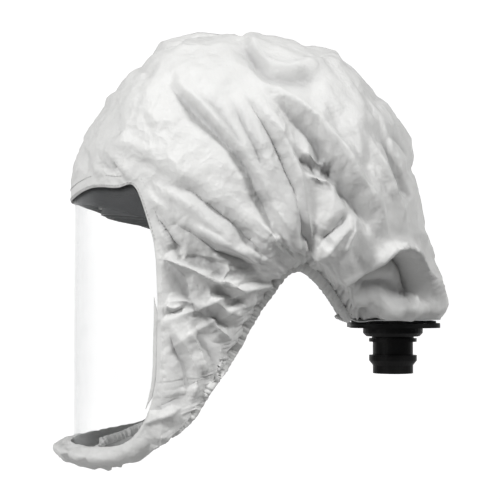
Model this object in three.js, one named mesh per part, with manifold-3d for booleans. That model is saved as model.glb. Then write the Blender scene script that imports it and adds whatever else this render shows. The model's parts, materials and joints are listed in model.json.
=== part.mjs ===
// Loose-fitting hood of a powered air respirator: a soft head cover with a clear cylindrical visor,
// an elastic neck opening, a head suspension with a ratchet size knob, an air channel over the crown
// and a swivelling hose inlet at the nape.
// Units are millimetres. +Z is up, -Y is the way the wearer faces, +X is the wearer's left hand.
// The origin is the centre of the headband, where the wearer's head holds the hood.
import * as THREE from "three";
import { mergeVertices } from "three/addons/utils/BufferGeometryUtils.js";
import Module from "manifold-3d";

const wasm = await Module();
wasm.setup();

// ---------------------------------------------------------------- driving dimensions
const GAP = 0.4; // what touching pieces keep between them
const CLOTH = 1.5; // thickness of the soft panels

const VISOR = { radius: 112.3, thickness: 1, frontY: -119, top: 23.5, cornerZ: -150, sideY: -46 };
const VISOR_Y = VISOR.frontY + VISOR.radius; // axis of the visor's cylinder
const EDGE_RADIUS = VISOR.radius + 1 + CLOTH / 2; // where the cloth lies on the visor

const PAD = { thickness: 6, low: 12, droop: 16, high: 30, reach: 61 };
const BAND = { side: 80, front: 107, centreY: 10, height: 18, thickness: 2, rearReach: 24, tilt: -8 };
const FOREHEAD_PAD = { thickness: 6, height: 22, reach: 58 };
const BROW_CLIP = { angle: 24, reach: 5, depth: 13, low: 12, high: 24 };
const GEAR = { teeth: 10, module: 1 };
const PITCH_RADIUS = (GEAR.teeth * GEAR.module) / 2;
const STRAP = { inner: 82.4, thickness: 1.6, height: 18, step: 2, start: 8, tail: 18.5, window: 15.5 };
const HOUSING = { reach: 17, height: 27, wall: 1.6 };
const SHAFT = { radius: 3, length: 4.6, sunk: 1, into: 3 };
const KNOB = { radius: 14, depth: 11, flutes: 18, fluteDepth: 0.9, recess: 2.4 };
const KNOB_SCREW = { radius: 1.2, head: 2.6, headHeight: 1.6, tip: -1.5 };
const CROWN_STRAP = { width: 20, thickness: 1.6, height: 100, y: -12 };
const PEG = { hole: 2.3, length: 6.4, head: 4.4, headHeight: 1.6 };

const ELASTIC_RADIUS = 1;
const HEM = { inner: 1.8, outer: 2.8, slit: 35, offset: 5.2 };
const HEM_AT_INLET = { y: 78, z: -71 }; // where the hem passes in front of the inlet
const TAPE = { width: 2.8, inset: 4.3, thickness: 0.8, from: 5.2, to: 7.6 };
const CHANNEL = { depth: 15, reach: 0.8, from: 0.12, to: 0.9, cloth: 1 };

const INLET = { y: 119, top: -75.5, halfX: 38, halfY: 33, corner: 22, plate: 3.4 };
const COLLAR = { radius: 22.3, end: -85.5, chamfer: 2.5, flare: 4 };
const SPIGOT = { radius: 15, bore: 12.6, neck: 15.6, ridge: 17.8, stopTop: -87, end: -113 };
const SEAL = { depth: 4.5, groove: 1.7, halfWidth: 1.3, cord: 0.68, inset: 0.6 };
const CLIP = { groove: 1.2, width: 2.2, outer: 20, thickness: 1.4, from: 25, to: 335, lip: 2 };
const CLAMP_SCREW = { shank: 1.4, head: 2.9, headHeight: 1.8, x: 25, y: 20.6, depth: 1.4 };

// ---------------------------------------------------------------- colours
const look = (hex, roughness, metalness = 0, opacity = 1) =>
  new THREE.MeshStandardMaterial({ color: hex, roughness, metalness, opacity, transparent: opacity < 1 });
const CLOTH_WHITE = look(0xdcdcda, 0.6);
const CLEAR = look(0xf4f6f6, 0.08, 0, 0.3);
const FOAM_GREY = look(0x4c4c4c, 0.95);
const BLACK_PLASTIC = look(0x0b0b0b, 0.45);
const GREY_PLASTIC = look(0x8f9396, 0.5);
const WHITE_PLASTIC = look(0xd8d8d4, 0.5);
const RUBBER = look(0x151515, 0.85);
const STEEL = look(0xb9bcc0, 0.3, 1);
const ELASTIC = look(0xe6e4de, 0.8);

// ---------------------------------------------------------------- small helpers
const V3 = (x, y, z) => new THREE.Vector3(x, y, z);
const rad = THREE.MathUtils.degToRad;
const range = (n) => Array.from({ length: n }, (_, i) => i);

// Triangles of a list of vertex positions and faces, as a geometry.
function geometryOf(points, faces) {
  const g = new THREE.BufferGeometry();
  g.setAttribute("position", new THREE.Float32BufferAttribute(points.flatMap((p) => [p.x, p.y, p.z]), 3));
  g.setIndex(faces.flat());
  g.computeVertexNormals();
  return g;
}

// A closed solid between two grids of points with the same rows and columns, outer side first.
function slab(outer, inner) {
  const rows = outer.length;
  const cols = outer[0].length;
  const points = [...outer.flat(), ...inner.flat()];
  const at = (i, j, side) => side * rows * cols + i * cols + j;
  const faces = [];
  const quad = (a, b, c, d) => faces.push([a, b, c], [a, c, d]);
  for (let i = 0; i < rows - 1; i++)
    for (let j = 0; j < cols - 1; j++) {
      quad(at(i, j, 0), at(i + 1, j, 0), at(i + 1, j + 1, 0), at(i, j + 1, 0));
      quad(at(i, j, 1), at(i, j + 1, 1), at(i + 1, j + 1, 1), at(i + 1, j, 1));
    }
  for (let i = 0; i < rows - 1; i++) {
    quad(at(i, 0, 0), at(i, 0, 1), at(i + 1, 0, 1), at(i + 1, 0, 0));
    quad(at(i, cols - 1, 0), at(i + 1, cols - 1, 0), at(i + 1, cols - 1, 1), at(i, cols - 1, 1));
  }
  for (let j = 0; j < cols - 1; j++) {
    quad(at(0, j, 0), at(0, j + 1, 0), at(0, j + 1, 1), at(0, j, 1));
    quad(at(rows - 1, j, 0), at(rows - 1, j, 1), at(rows - 1, j + 1, 1), at(rows - 1, j + 1, 0));
  }
  return facingOut(geometryOf(points, faces));
}

// Turns a closed geometry's faces round if they point inwards.
function facingOut(g) {
  const p = g.getAttribute("position");
  const index = g.index.array;
  let volume = 0;
  const [a, b, c] = [V3(), V3(), V3()];
  for (let i = 0; i < index.length; i += 3) {
    a.fromBufferAttribute(p, index[i]);
    b.fromBufferAttribute(p, index[i + 1]);
    c.fromBufferAttribute(p, index[i + 2]);
    volume += a.dot(b.cross(c));
  }
  if (volume < 0)
    for (let i = 0; i < index.length; i += 3) [index[i + 1], index[i + 2]] = [index[i + 2], index[i + 1]];
  g.computeVertexNormals();
  return g;
}

// A sheet of the given thickness about the surface f(u, v), for u and v in the given ranges.
function sheet(f, [u0, u1, rows], [v0, v1, cols], thickness) {
  const outer = [];
  const inner = [];
  for (let i = 0; i <= rows; i++) {
    outer.push([]);
    inner.push([]);
    for (let j = 0; j <= cols; j++) {
      const u = THREE.MathUtils.lerp(u0, u1, i / rows);
      const v = THREE.MathUtils.lerp(v0, v1, j / cols);
      const n = normalAt(f, u, v, Math.sign(u1 - u0), Math.sign(v1 - v0));
      outer[i].push(f(u, v).addScaledVector(n, thickness / 2));
      inner[i].push(f(u, v).addScaledVector(n, -thickness / 2));
    }
  }
  return slab(outer, inner);
}

function normalAt(f, u, v, su, sv) {
  const e = 1e-3;
  const du = f(u + e * su, v).sub(f(u - e * su, v));
  const dv = f(u, v + e * sv).sub(f(u, v - e * sv));
  return du.cross(dv).normalize();
}

// A section of [x, y] points swept round a closed loop of frames {at, side, up}.
function loopSweep(section, frames) {
  const n = section.length;
  const points = frames.flatMap(({ at, side, up }) =>
    section.map(([x, y]) => at.clone().addScaledVector(side, x).addScaledVector(up, y)),
  );
  const faces = [];
  range(frames.length).forEach((i) => {
    const next = (i + 1) % frames.length;
    range(n).forEach((j) => {
      const k = (j + 1) % n;
      faces.push([i * n + j, next * n + j, next * n + k], [i * n + j, next * n + k, i * n + k]);
    });
  });
  return facingOut(geometryOf(points, faces));
}

function shapeOf(points) {
  return new THREE.Shape(points.map(([x, y]) => new THREE.Vector2(x, y)));
}

function extrude(shape, depth, curveSegments = 24) {
  return new THREE.ExtrudeGeometry(shape, { depth, bevelEnabled: false, curveSegments });
}

// A plate bent round the Z axis: radii, angles in degrees from +X towards +Y, and heights.
function arcPlate(inner, outer, from, to, low, high, steps = 24) {
  const ring = (r, list) => list.map((t) => [r * Math.cos(t), r * Math.sin(t)]);
  const angles = range(steps + 1).map((i) => rad(from + ((to - from) * i) / steps));
  const outline = [...ring(outer, angles), ...ring(inner, [...angles].reverse())];
  return extrude(shapeOf(outline), high - low).translate(0, 0, low);
}

// The same surface with its shared vertices merged and its faces pointing out.
function closed(geometry) {
  const g = geometry.clone();
  g.deleteAttribute("normal");
  g.deleteAttribute("uv");
  return facingOut(mergeVertices(g, 1e-4));
}

function solid(geometry) {
  const g = closed(geometry);
  return new wasm.Manifold(
    new wasm.Mesh({
      numProp: 3,
      vertProperties: new Float32Array(g.attributes.position.array),
      triVerts: new Uint32Array(g.index.array),
    }),
  );
}

function fromSolid(s) {
  const mesh = s.getMesh();
  const g = new THREE.BufferGeometry();
  g.setAttribute("position", new THREE.Float32BufferAttribute(mesh.vertProperties, 3));
  g.setIndex([...mesh.triVerts]);
  g.computeVertexNormals();
  return g;
}

const join = (first, ...rest) => fromSolid(rest.reduce((s, g) => s.add(solid(g)), solid(first)));
const cut = (first, ...rest) => fromSolid(rest.reduce((s, g) => s.subtract(solid(g)), solid(first)));

const root = new THREE.Group();
const suspension = new THREE.Group(); // the head suspension leans down at the nape
suspension.rotation.x = rad(BAND.tilt);
root.add(suspension);

function put(group, name, geometry, material) {
  const mesh = new THREE.Mesh(geometry, material);
  mesh.name = name;
  group.add(mesh);
  return mesh;
}

// ---------------------------------------------------------------- the shape of the soft cover
// The cover is one sleeve from the face opening to the neck opening. Each guide is a line along it,
// from the face opening to the neck opening: the first is the middle line over the crown, the last is
// the middle line under the chin, and those between go down the wearer's left side. [x, y, z]
const GUIDES = [
  [
    [0, -120.2, 14], [0, -120.3, 27], [0, -117, 44], [0, -106, 68], [0, -86, 98], [0, -54, 125],
    [0, -12, 136], [0, 30, 136], [0, 69, 126], [0, 103, 99], [0, 126, 70], [0, 134, 38], [0, 137, 6],
    [0, 149, -27], [0, 155.5, -52], [0, 154, -73],
  ],
  [
    [42.5, -111.9, 14.5], [43.5, -111.9, 27], [47, -107, 46], [50, -94, 74], [54, -60, 112], [57, -12, 127],
    [58, 30, 127], [56, 72, 114], [50, 106, 84], [44, 126, 50], [40, 134, 10], [37, 143, -28],
    [33, 149, -52], [28, 148, -73],
  ],
  [
    [80.2, -86.9, 14], [82.2, -86, 27], [88, -78, 50], [92, -58, 80], [95, -14, 100], [95, 30, 101],
    [92, 70, 88], [82, 104, 54], [72, 122, 10], [62, 130, -30], [51, 132, -56], [40, 128, -73],
  ],
  [
    [97.2, -65.1, 5], [101.2, -59.5, 17], [107, -50, 34], [112, -30, 50], [115, 2, 58], [115, 36, 56],
    [110, 68, 40], [98, 92, 8], [84, 104, -28], [60, 106, -58], [42, 103, -73],
  ],
  [
    [103.6, -52.8, -16], [110, -38, -4], [117, -10, 10], [118, 20, 12], [115, 46, 2], [106, 66, -16],
    [92, 76, -38], [66, 82, -60], [47, 82, -71],
  ],
  [
    [105.2, -49.2, -50], [109, -38, -44], [113, -12, -32], [111, 16, -26], [103, 38, -27], [90, 50, -34],
    [80, 47, -38],
  ],
  [
    [105.2, -49.2, -85], [107.8, -42, -83], [107, -30, -78], [101, -12, -71], [90, 8, -66], [79, 19, -63],
    [74, 22, -61.6],
  ],
  [
    [104.7, -50.5, -115], [107.4, -43.5, -114.5], [104, -32, -113], [94, -18, -111], [80, -9, -108],
    [68, -8, -106.5],
  ],
  [
    [101.1, -58.2, -140], [105.4, -49, -143], [102, -41, -145], [93, -33, -143], [85, -28, -140],
    [79, -25, -137],
  ],
  [
    [91.8, -73.4, -157], [94, -71, -163], [90, -62, -167], [82, -50, -161], [76, -42, -154],
  ],
  [
    [66.7, -98.5, -164.5], [73, -102, -171], [69, -94, -177.5], [61, -78, -178], [57, -73, -173],
  ],
  [
    [31.3, -115.8, -165.5], [34, -126.5, -170], [32, -120, -178], [28, -108, -181], [26, -103, -177],
  ],
  [
    [0, -120.2, -165], [0, -132.5, -169.5], [0, -124, -177.5], [0, -114, -181], [0, -108, -177.5],
  ],
];
const CHIN = GUIDES.length - 1; // number of the guide under the chin
const CHIN_SEAM = 9; // guide at which the side panels end
const CROWN_SEAM = 1; // guide at which the crown panel ends
const LINE_STEPS = 400;
const RELEASE = 8; // how fast the cloth is let in once it is past the visor
const SEAM = 0.025; // half of the gap between two sewn panels, in guides
const NECK_T = 0.996; // where the panels end, just short of the neck hem

const guideCurves = [];
for (const points of GUIDES) {
  const curve = new THREE.CatmullRomCurve3(points.map((p) => V3(...p)), false, "centripetal");
  guideCurves.push(curve.getSpacedPoints(LINE_STEPS));
}

// A point of a guide, with the guides of the right side mirrored from the left.
function guidePoint(number, t) {
  const around = ((number % (2 * CHIN)) + 2 * CHIN) % (2 * CHIN);
  const right = around > CHIN;
  const line = guideCurves[right ? 2 * CHIN - around : around];
  const place = THREE.MathUtils.clamp(t, 0, 1) * LINE_STEPS;
  const low = Math.min(Math.floor(place), LINE_STEPS - 1);
  const p = line[low].clone().lerp(line[low + 1], place - low);
  return right ? p.setX(-p.x) : p;
}

// A point of the cover: s counts the guides round the sleeve, t goes from the face to the neck opening.
function coverPoint(s, t) {
  const k = Math.floor(s);
  const f = s - k;
  const [a, b, c, d] = [-1, 0, 1, 2].map((i) => guidePoint(k + i, t));
  const blend = (p, q, r, w) =>
    q + 0.5 * f * (r - p + f * (2 * p - 5 * q + 4 * r - w + f * (3 * (q - r) + w - p)));
  return outsideVisor(V3(blend(a.x, b.x, c.x, d.x), blend(a.y, b.y, c.y, d.y), blend(a.z, b.z, c.z, d.z)));
}

// The cloth lies on the visor where they overlap, and may come inside its cylinder only beyond it.
function outsideVisor(p) {
  const past = [p.z - VISOR.top - 2, VISOR.cornerZ - p.z, p.y - VISOR.sideY];
  const beyond = past.reduce((sum, distance) => sum + Math.max(0, distance), 0);
  const least = EDGE_RADIUS - RELEASE * beyond;
  const radius = Math.hypot(p.x, p.y - VISOR_Y);
  if (radius >= least || p.y > VISOR_Y) return p;
  const share = least / radius;
  return p.set(p.x * share, VISOR_Y + (p.y - VISOR_Y) * share, p.z);
}

function coverPanel(name, from, to, [around, along]) {
  const panel = sheet(coverPoint, [from + SEAM, to - SEAM, around], [0, NECK_T, along], CLOTH);
  put(root, name, panel, CLOTH_WHITE);
}

function softCover() {
  coverPanel("crown_panel", -CROWN_SEAM, CROWN_SEAM, [6, 24]);
  coverPanel("side_panel_left", CROWN_SEAM, CHIN_SEAM, [20, 20]);
  coverPanel("side_panel_right", -CHIN_SEAM, -CROWN_SEAM, [20, 20]);
  coverPanel("chin_panel", CHIN_SEAM, 2 * CHIN - CHIN_SEAM, [14, 7]);
}

// ---------------------------------------------------------------- the neck opening
// Guide at which the hem leaves the cover's neck edge and passes in front of the inlet.
const NECK_START = 4;

// Frames round the neck opening, which the hem and its elastic are swept along.
function neckLoop(steps) {
  const samples = steps * 3;
  const points = range(samples).map((i) => {
    const s = THREE.MathUtils.lerp(NECK_START, 2 * CHIN - NECK_START, i / (samples - 1));
    const edge = coverPoint(s, 1);
    const outward = edge.clone().sub(coverPoint(s, 0.9)).normalize();
    return edge.addScaledVector(outward, HEM.offset);
  });
  const front = V3(0, HEM_AT_INLET.y, HEM_AT_INLET.z);
  const curve = new THREE.CatmullRomCurve3([...points, front], true, "centripetal");
  const neckMiddle = V3(0, -20, -60);
  return range(steps).map((i) => {
    const at = curve.getPointAt(i / steps);
    const along = curve.getTangentAt(i / steps);
    const side = at.clone().sub(neckMiddle).cross(along).normalize();
    return { at, side, up: along.clone().cross(side).normalize() };
  });
}

// Points on part of a circle, between two angles in degrees.
function arcPoints(radius, from, to, n) {
  return range(n).map((i) => {
    const angle = rad(THREE.MathUtils.lerp(from, to, i / (n - 1)));
    return [radius * Math.cos(angle), radius * Math.sin(angle)];
  });
}

function neckOpening() {
  const frames = neckLoop(60);
  const { inner, outer, slit } = HEM;
  const casing = [...arcPoints(outer, slit, 360 - slit, 7), ...arcPoints(inner, 360 - slit, slit, 6)];
  put(root, "neck_hem", loopSweep(casing, frames), CLOTH_WHITE);
  put(root, "neck_elastic", loopSweep(arcPoints(ELASTIC_RADIUS, 0, 300, 6), frames), ELASTIC);
}

// ---------------------------------------------------------------- the visor and what lies along it
// A point on a cylinder about the visor's axis, at an angle from the front in degrees.
const onCylinder = (radius, angle, z) =>
  V3(radius * Math.sin(rad(angle)), VISOR_Y - radius * Math.cos(rad(angle)), z);

// Outline of one half of the visor in the flat: [angle from the front, z], from the top.
const VISOR_OUTLINE = [
  [0, VISOR.top], [40, VISOR.top], [54, 22], [60, 12], [65, -2], [69, -18], [70.5, -36], [70.5, -108],
  [69, -126], [65, -140], [59, -153], [50, -163], [38, -168.5], [22, -171], [0, -171],
];
const VISOR_WIDEST = 70;
const VISOR_MIDDLE_Z = -70;

function visor() {
  const flat = VISOR_OUTLINE.map(([angle, z]) => V3(angle, z, 0));
  const outline = new THREE.CatmullRomCurve3(flat, false, "centripetal").getSpacedPoints(300);
  const upper = outline.filter((p) => p.y > VISOR_MIDDLE_Z);
  const lower = outline.filter((p) => p.y <= VISOR_MIDDLE_Z);
  const heightAt = (branch, angle) =>
    branch.reduce((best, p) => (Math.abs(p.x - angle) < Math.abs(best.x - angle) ? p : best)).y;
  const columns = 30;
  const rows = 4;
  const face = (radius) => range(columns + 1).map((i) => {
    const angle = VISOR_WIDEST * Math.sin(rad(THREE.MathUtils.lerp(-90, 90, i / columns)));
    const top = heightAt(upper, Math.abs(angle));
    const bottom = heightAt(lower, Math.abs(angle));
    return range(rows + 1).map((j) => onCylinder(radius, angle, THREE.MathUtils.lerp(top, bottom, j / rows)));
  });
  put(root, "visor", slab(face(VISOR.radius), face(VISOR.radius - VISOR.thickness)), CLEAR);
}

// Binding tape over the seam where each side panel meets the visor.
function edgeTapes() {
  const radius = VISOR.radius + GAP + TAPE.thickness / 2;
  const toDegrees = THREE.MathUtils.radToDeg;
  const width = toDegrees(TAPE.width / radius);
  const inset = toDegrees(TAPE.inset / radius);
  for (const [name, side] of [["left", 1], ["right", -1]]) {
    const strip = (k, across) => {
      const edge = coverPoint(k, 0.01);
      const angle = toDegrees(Math.atan2(edge.x, VISOR_Y - edge.y));
      const p = onCylinder(radius, angle - inset + across * width, edge.z);
      return p.setX(p.x * side);
    };
    const tape = sheet(strip, [TAPE.from, TAPE.to, 14], [0, 1, 2], TAPE.thickness);
    put(root, `visor_tape_${name}`, tape, CLOTH_WHITE);
  }
}

// Foam inside the top of the visor, deeper towards the temples.
function browPad() {
  const centre = VISOR.radius - VISOR.thickness - GAP - PAD.thickness / 2;
  const surface = (angle, share) => {
    const low = PAD.low - PAD.droop * (angle / PAD.reach) ** 2;
    return onCylinder(centre, angle, THREE.MathUtils.lerp(low, PAD.high, share));
  };
  const pad = sheet(surface, [-PAD.reach, PAD.reach, 30], [0, 1, 3], PAD.thickness);
  put(root, "brow_pad", pad, FOAM_GREY);
}

// ---------------------------------------------------------------- the head suspension
// Plan of the headband at an offset outside its inner face: an ellipse in front, a circle behind.
function bandPoint(angle, offset) {
  const forward = Math.sin(rad(angle)) < 0;
  const reach = (forward ? BAND.front : BAND.side) + offset;
  return [(BAND.side + offset) * Math.cos(rad(angle)), BAND.centreY + reach * Math.sin(rad(angle))];
}

function frontBand() {
  const angles = range(41).map((i) => THREE.MathUtils.lerp(BAND.rearReach, -180 - BAND.rearReach, i / 40));
  const outline = [
    ...angles.map((a) => bandPoint(a, BAND.thickness)),
    ...angles.reverse().map((a) => bandPoint(a, 0)),
  ];
  const band = extrude(shapeOf(outline), BAND.height).translate(0, 0, -BAND.height / 2);
  put(suspension, "headband", band, GREY_PLASTIC);
}

// Foam along the front of the headband, on the wearer's forehead.
function foreheadPad() {
  const { thickness, height, reach } = FOREHEAD_PAD;
  const angles = range(25).map((i) => THREE.MathUtils.lerp(-90 + reach, -90 - reach, i / 24));
  const outline = [
    ...angles.map((a) => bandPoint(a, -GAP)),
    ...angles.reverse().map((a) => bandPoint(a, -GAP - thickness)),
  ];
  const pad = extrude(shapeOf(outline), height).translate(0, 0, -height / 2);
  put(suspension, "forehead_pad", pad, FOAM_GREY);
}

const toNape = (g) => g.translate(0, BAND.centreY, 0);

const RACK_TOOTH = [[-1.05, 0.3], [-0.4, -1.6], [0.4, -1.6], [1.05, 0.3]]; // about the window's edge
const PINION_TOOTH = [[-0.3, -1.25], [-0.14, 0.8], [0.14, 0.8], [0.3, -1.25]]; // share of the pitch, rise

// One nape strap: a bent strip with a window whose upper or lower side carries a rack of teeth.
function napeStrap(side) {
  const inner = STRAP.inner + (side > 0 ? 0 : STRAP.step);
  const outer = inner + STRAP.thickness;
  const middle = (inner + outer) / 2;
  const half = STRAP.height / 2;
  const strip = arcPlate(inner, outer, STRAP.start, 90 + STRAP.tail, -half, half, 30);
  const clearSide = -(PITCH_RADIUS + GEAR.module + GAP);
  const rootLine = PITCH_RADIUS + GEAR.module * 1.3;
  const ends = [90 - STRAP.window, 90 + STRAP.window];
  const window = arcPlate(inner - 1, outer + 1, ...ends, clearSide, rootLine, 16);
  const pitchAngle = THREE.MathUtils.radToDeg((Math.PI * GEAR.module) / middle);
  const teeth = Math.floor(STRAP.window / pitchAngle);
  const tooth = shapeOf(RACK_TOOTH);
  const rack = range(2 * teeth + 1).map((i) => {
    const g = extrude(tooth, STRAP.thickness).translate(0, rootLine, inner);
    return g.rotateX(Math.PI / 2).rotateZ(Math.PI + rad((i - teeth) * pitchAngle));
  });
  const strap = toNape(join(cut(strip, window), ...rack));
  return side > 0 ? strap : strap.rotateY(Math.PI);
}

function pinionShape() {
  const step = 360 / GEAR.teeth;
  const points = range(GEAR.teeth).flatMap((i) =>
    PINION_TOOTH.map(([share, rise]) => {
      const angle = rad((i + share) * step);
      const radius = PITCH_RADIUS + rise;
      return [radius * Math.cos(angle), radius * Math.sin(angle)];
    }),
  );
  return shapeOf(points);
}

// The knob's outline, with flutes round it for the fingers.
function gripShape() {
  const corners = KNOB.flutes * 4;
  const points = range(corners).map((i) => {
    const radius = KNOB.radius - (i % 4 < 2 ? 0 : KNOB.fluteDepth);
    const angle = (i / corners) * 2 * Math.PI;
    return [radius * Math.cos(angle), radius * Math.sin(angle)];
  });
  return shapeOf(points);
}

// A cylinder along Z, centred.
const turned = (radius, length, sides = 20) =>
  new THREE.CylinderGeometry(radius, radius, length, sides).rotateX(Math.PI / 2);

// Things turned about the knob's axis: drawn along +Z, then laid along +Y at the nape.
const ontoKnobAxis = (g, fromCentre) => g.rotateX(-Math.PI / 2).translate(0, BAND.centreY + fromCentre, 0);

// A solid or a hole turned about the knob's axis, between two distances from the band's centre.
const onKnobAxis = (radius, from, to) => ontoKnobAxis(turned(radius, to - from), (from + to) / 2);

function sizeAdjuster() {
  put(suspension, "nape_strap_left", napeStrap(1), GREY_PLASTIC);
  put(suspension, "nape_strap_right", napeStrap(-1), GREY_PLASTIC);

  const half = HOUSING.height / 2;
  const innerFace = STRAP.inner - GAP;
  const outerFace = STRAP.inner + STRAP.step + STRAP.thickness + GAP;
  const span = [90 - HOUSING.reach, 90 + HOUSING.reach];
  const plate = arcPlate(innerFace - HOUSING.wall, innerFace, ...span, -half, half, 12);
  put(suspension, "nape_plate", toNape(plate), WHITE_PLASTIC);

  const cover = arcPlate(innerFace + GAP, outerFace + HOUSING.wall, ...span, -half, half, 12);
  const room = STRAP.height / 2 + GAP;
  const channel = arcPlate(innerFace - 1, outerFace, span[0] - 1, span[1] + 1, -room, room, 12);
  const shaftHole = onKnobAxis(SHAFT.radius + GAP, outerFace - 10, outerFace + 10);
  put(suspension, "ratchet_cover", cut(toNape(cover), toNape(channel), shaftHole), WHITE_PLASTIC);

  const base = outerFace + HOUSING.wall + GAP;
  const knobEnd = base + KNOB.depth;
  const screwHole = onKnobAxis(KNOB_SCREW.radius + GAP, outerFace - 2, knobEnd);
  const gear = ontoKnobAxis(extrude(pinionShape(), outerFace - innerFace - 2 * GAP), innerFace + GAP);
  const shaft = onKnobAxis(SHAFT.radius, outerFace - SHAFT.sunk, outerFace - SHAFT.sunk + SHAFT.length);
  put(suspension, "pinion", cut(join(gear, shaft), screwHole), WHITE_PLASTIC);

  const knob = ontoKnobAxis(extrude(gripShape(), KNOB.depth), base);
  const socket = onKnobAxis(SHAFT.radius + GAP, base - 1, base + SHAFT.into);
  const recess = onKnobAxis(KNOB_SCREW.head + GAP, knobEnd - KNOB.recess, knobEnd + 1);
  put(suspension, "size_knob", cut(knob, socket, screwHole, recess), RUBBER);

  const headSeat = knobEnd - KNOB.recess + GAP;
  const pin = onKnobAxis(KNOB_SCREW.radius, outerFace + KNOB_SCREW.tip, headSeat + 1);
  const head = onKnobAxis(KNOB_SCREW.head, headSeat, headSeat + KNOB_SCREW.headHeight);
  put(suspension, "knob_screw", join(pin, head), STEEL);
}

// A strap bent over the head along a half ellipse, in a vertical plane.
function archPlate(halfWidth, height, width, thickness, foot) {
  const half = (grow) => {
    const arch = arcPoints(1, 0, 180, 37).map(([x, z]) => [x * (halfWidth + grow), z * (height + grow)]);
    return [[halfWidth + grow, -foot], ...arch, [-halfWidth - grow, -foot]];
  };
  const outline = [...half(thickness), ...half(0).reverse()];
  return extrude(shapeOf(outline), width).translate(0, 0, -width / 2).rotateX(Math.PI / 2);
}

function crownStraps() {
  const { width, thickness, height, y } = CROWN_STRAP;
  const bandFace = BAND.side + BAND.thickness + GAP;
  const over = archPlate(bandFace, height, width, thickness, BAND.height / 2).translate(0, y, 0);
  const alongX = (radius, length, x) =>
    new THREE.CylinderGeometry(radius, radius, length, 16).rotateZ(Math.PI / 2).translate(x, y, 0);
  const holes = alongX(PEG.hole, 4 * BAND.side, 0);
  put(suspension, "crown_strap", cut(over, holes), GREY_PLASTIC);
  const band = suspension.getObjectByName("headband");
  band.geometry = cut(band.geometry, holes);
  const face = bandFace + thickness + GAP;
  for (const [name, side] of [["left", 1], ["right", -1]]) {
    const pin = alongX(PEG.hole - GAP, PEG.length, side * (face + PEG.headHeight / 2 - PEG.length / 2));
    const cap = alongX(PEG.head, PEG.headHeight, side * (face + PEG.headHeight / 2));
    put(suspension, `crown_peg_${name}`, join(pin, cap), WHITE_PLASTIC);
  }
}

// Plastic spacers which hang the brow pad and the visor on the headband.
function browClips() {
  const { angle, reach, depth, low, high } = BROW_CLIP;
  const outerFace = VISOR.radius - VISOR.thickness - 2 * GAP - PAD.thickness;
  for (const [name, side] of [["left", 1], ["right", -1]]) {
    const middle = side * angle - 90;
    const block = arcPlate(outerFace - depth, outerFace, middle - reach, middle + reach, low, high, 4);
    put(root, `brow_clip_${name}`, block.translate(0, VISOR_Y, 0), WHITE_PLASTIC);
  }
}

// ---------------------------------------------------------------- the air channel under the crown
const HEAD_MIDDLE = V3(0, 20, 30);

// The cloth which makes a duct under the crown: its edges are on the cover, its middle hangs below it.
function airChannel() {
  const surface = (s, t) => {
    const at = coverPoint(s, t);
    const n = normalAt(coverPoint, s, t, 1, 1);
    const inward = n.dot(at.clone().sub(HEAD_MIDDLE)) > 0 ? -1 : 1;
    const hang = CHANNEL.depth * (1 - Math.abs(s / CHANNEL.reach) ** 4);
    return at.addScaledVector(n, inward * (CLOTH + 2 * GAP + hang));
  };
  const across = [-CHANNEL.reach, CHANNEL.reach, 8];
  const duct = sheet(surface, across, [CHANNEL.from, CHANNEL.to, 20], CHANNEL.cloth);
  put(root, "air_channel", duct, CLOTH_WHITE);
}

// ---------------------------------------------------------------- the hose inlet
function circleHole(x, y, radius) {
  const sides = radius > 5 ? 32 : 10;
  return new THREE.Path(range(sides).map((i) => {
    const angle = (-2 * Math.PI * i) / sides;
    return new THREE.Vector2(x + radius * Math.cos(angle), y + radius * Math.sin(angle));
  }));
}

function roundedPlate(halfX, halfY, corner, holes) {
  const s = new THREE.Shape();
  s.moveTo(halfX, -halfY + corner);
  s.lineTo(halfX, halfY - corner);
  s.absarc(halfX - corner, halfY - corner, corner, 0, Math.PI / 2);
  s.absarc(-halfX + corner, halfY - corner, corner, Math.PI / 2, Math.PI);
  s.absarc(-halfX + corner, -halfY + corner, corner, Math.PI, Math.PI * 1.5);
  s.absarc(halfX - corner, -halfY + corner, corner, Math.PI * 1.5, Math.PI * 2);
  for (const [x, y, radius] of holes) s.holes.push(circleHole(x, y, radius));
  return s;
}

// A closed [radius, z] profile turned round Z.
function lathe(profile, segments) {
  const points = [...profile, profile[0]].map(([radius, z]) => new THREE.Vector2(radius, z));
  return new THREE.LatheGeometry(points, segments).rotateX(Math.PI / 2);
}

const CORNERS = [[1, 1], [1, -1], [-1, -1], [-1, 1]];
const SCREW_PLACES = CORNERS.map(([a, b]) => [a * CLAMP_SCREW.x, b * CLAMP_SCREW.y]);
const SCREW_HOLE = CLAMP_SCREW.shank + GAP;

// A flat layer of the inlet, with the hose's hole and the clamp screws' holes through it.
function inletLayer(inset, hole, thickness, low) {
  const holes = [[0, 0, hole], ...SCREW_PLACES.map(([x, y]) => [x, y, SCREW_HOLE])];
  const outline = roundedPlate(INLET.halfX - inset, INLET.halfY - inset, INLET.corner - inset, holes);
  return extrude(outline, thickness, 8).translate(0, 0, low);
}

function inletFlange() {
  const plateBottom = INLET.top - INLET.plate;
  const bore = SPIGOT.neck + GAP;
  const plate = inletLayer(0, bore, INLET.plate, plateBottom);
  const { radius, end, chamfer, flare } = COLLAR;
  const collar = lathe([
    [bore, INLET.top], [bore, end], [radius - chamfer, end], [radius, end + chamfer],
    [radius, plateBottom + 0.5], [radius + flare, INLET.top],
  ], 36);
  const bossCuts = SCREW_PLACES.map(([x, y]) =>
    new THREE.CylinderGeometry(SCREW_HOLE, SCREW_HOLE, 4, 16).rotateX(Math.PI / 2).translate(x, y, INLET.top),
  );
  return cut(join(plate, collar), ...bossCuts);
}

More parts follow.
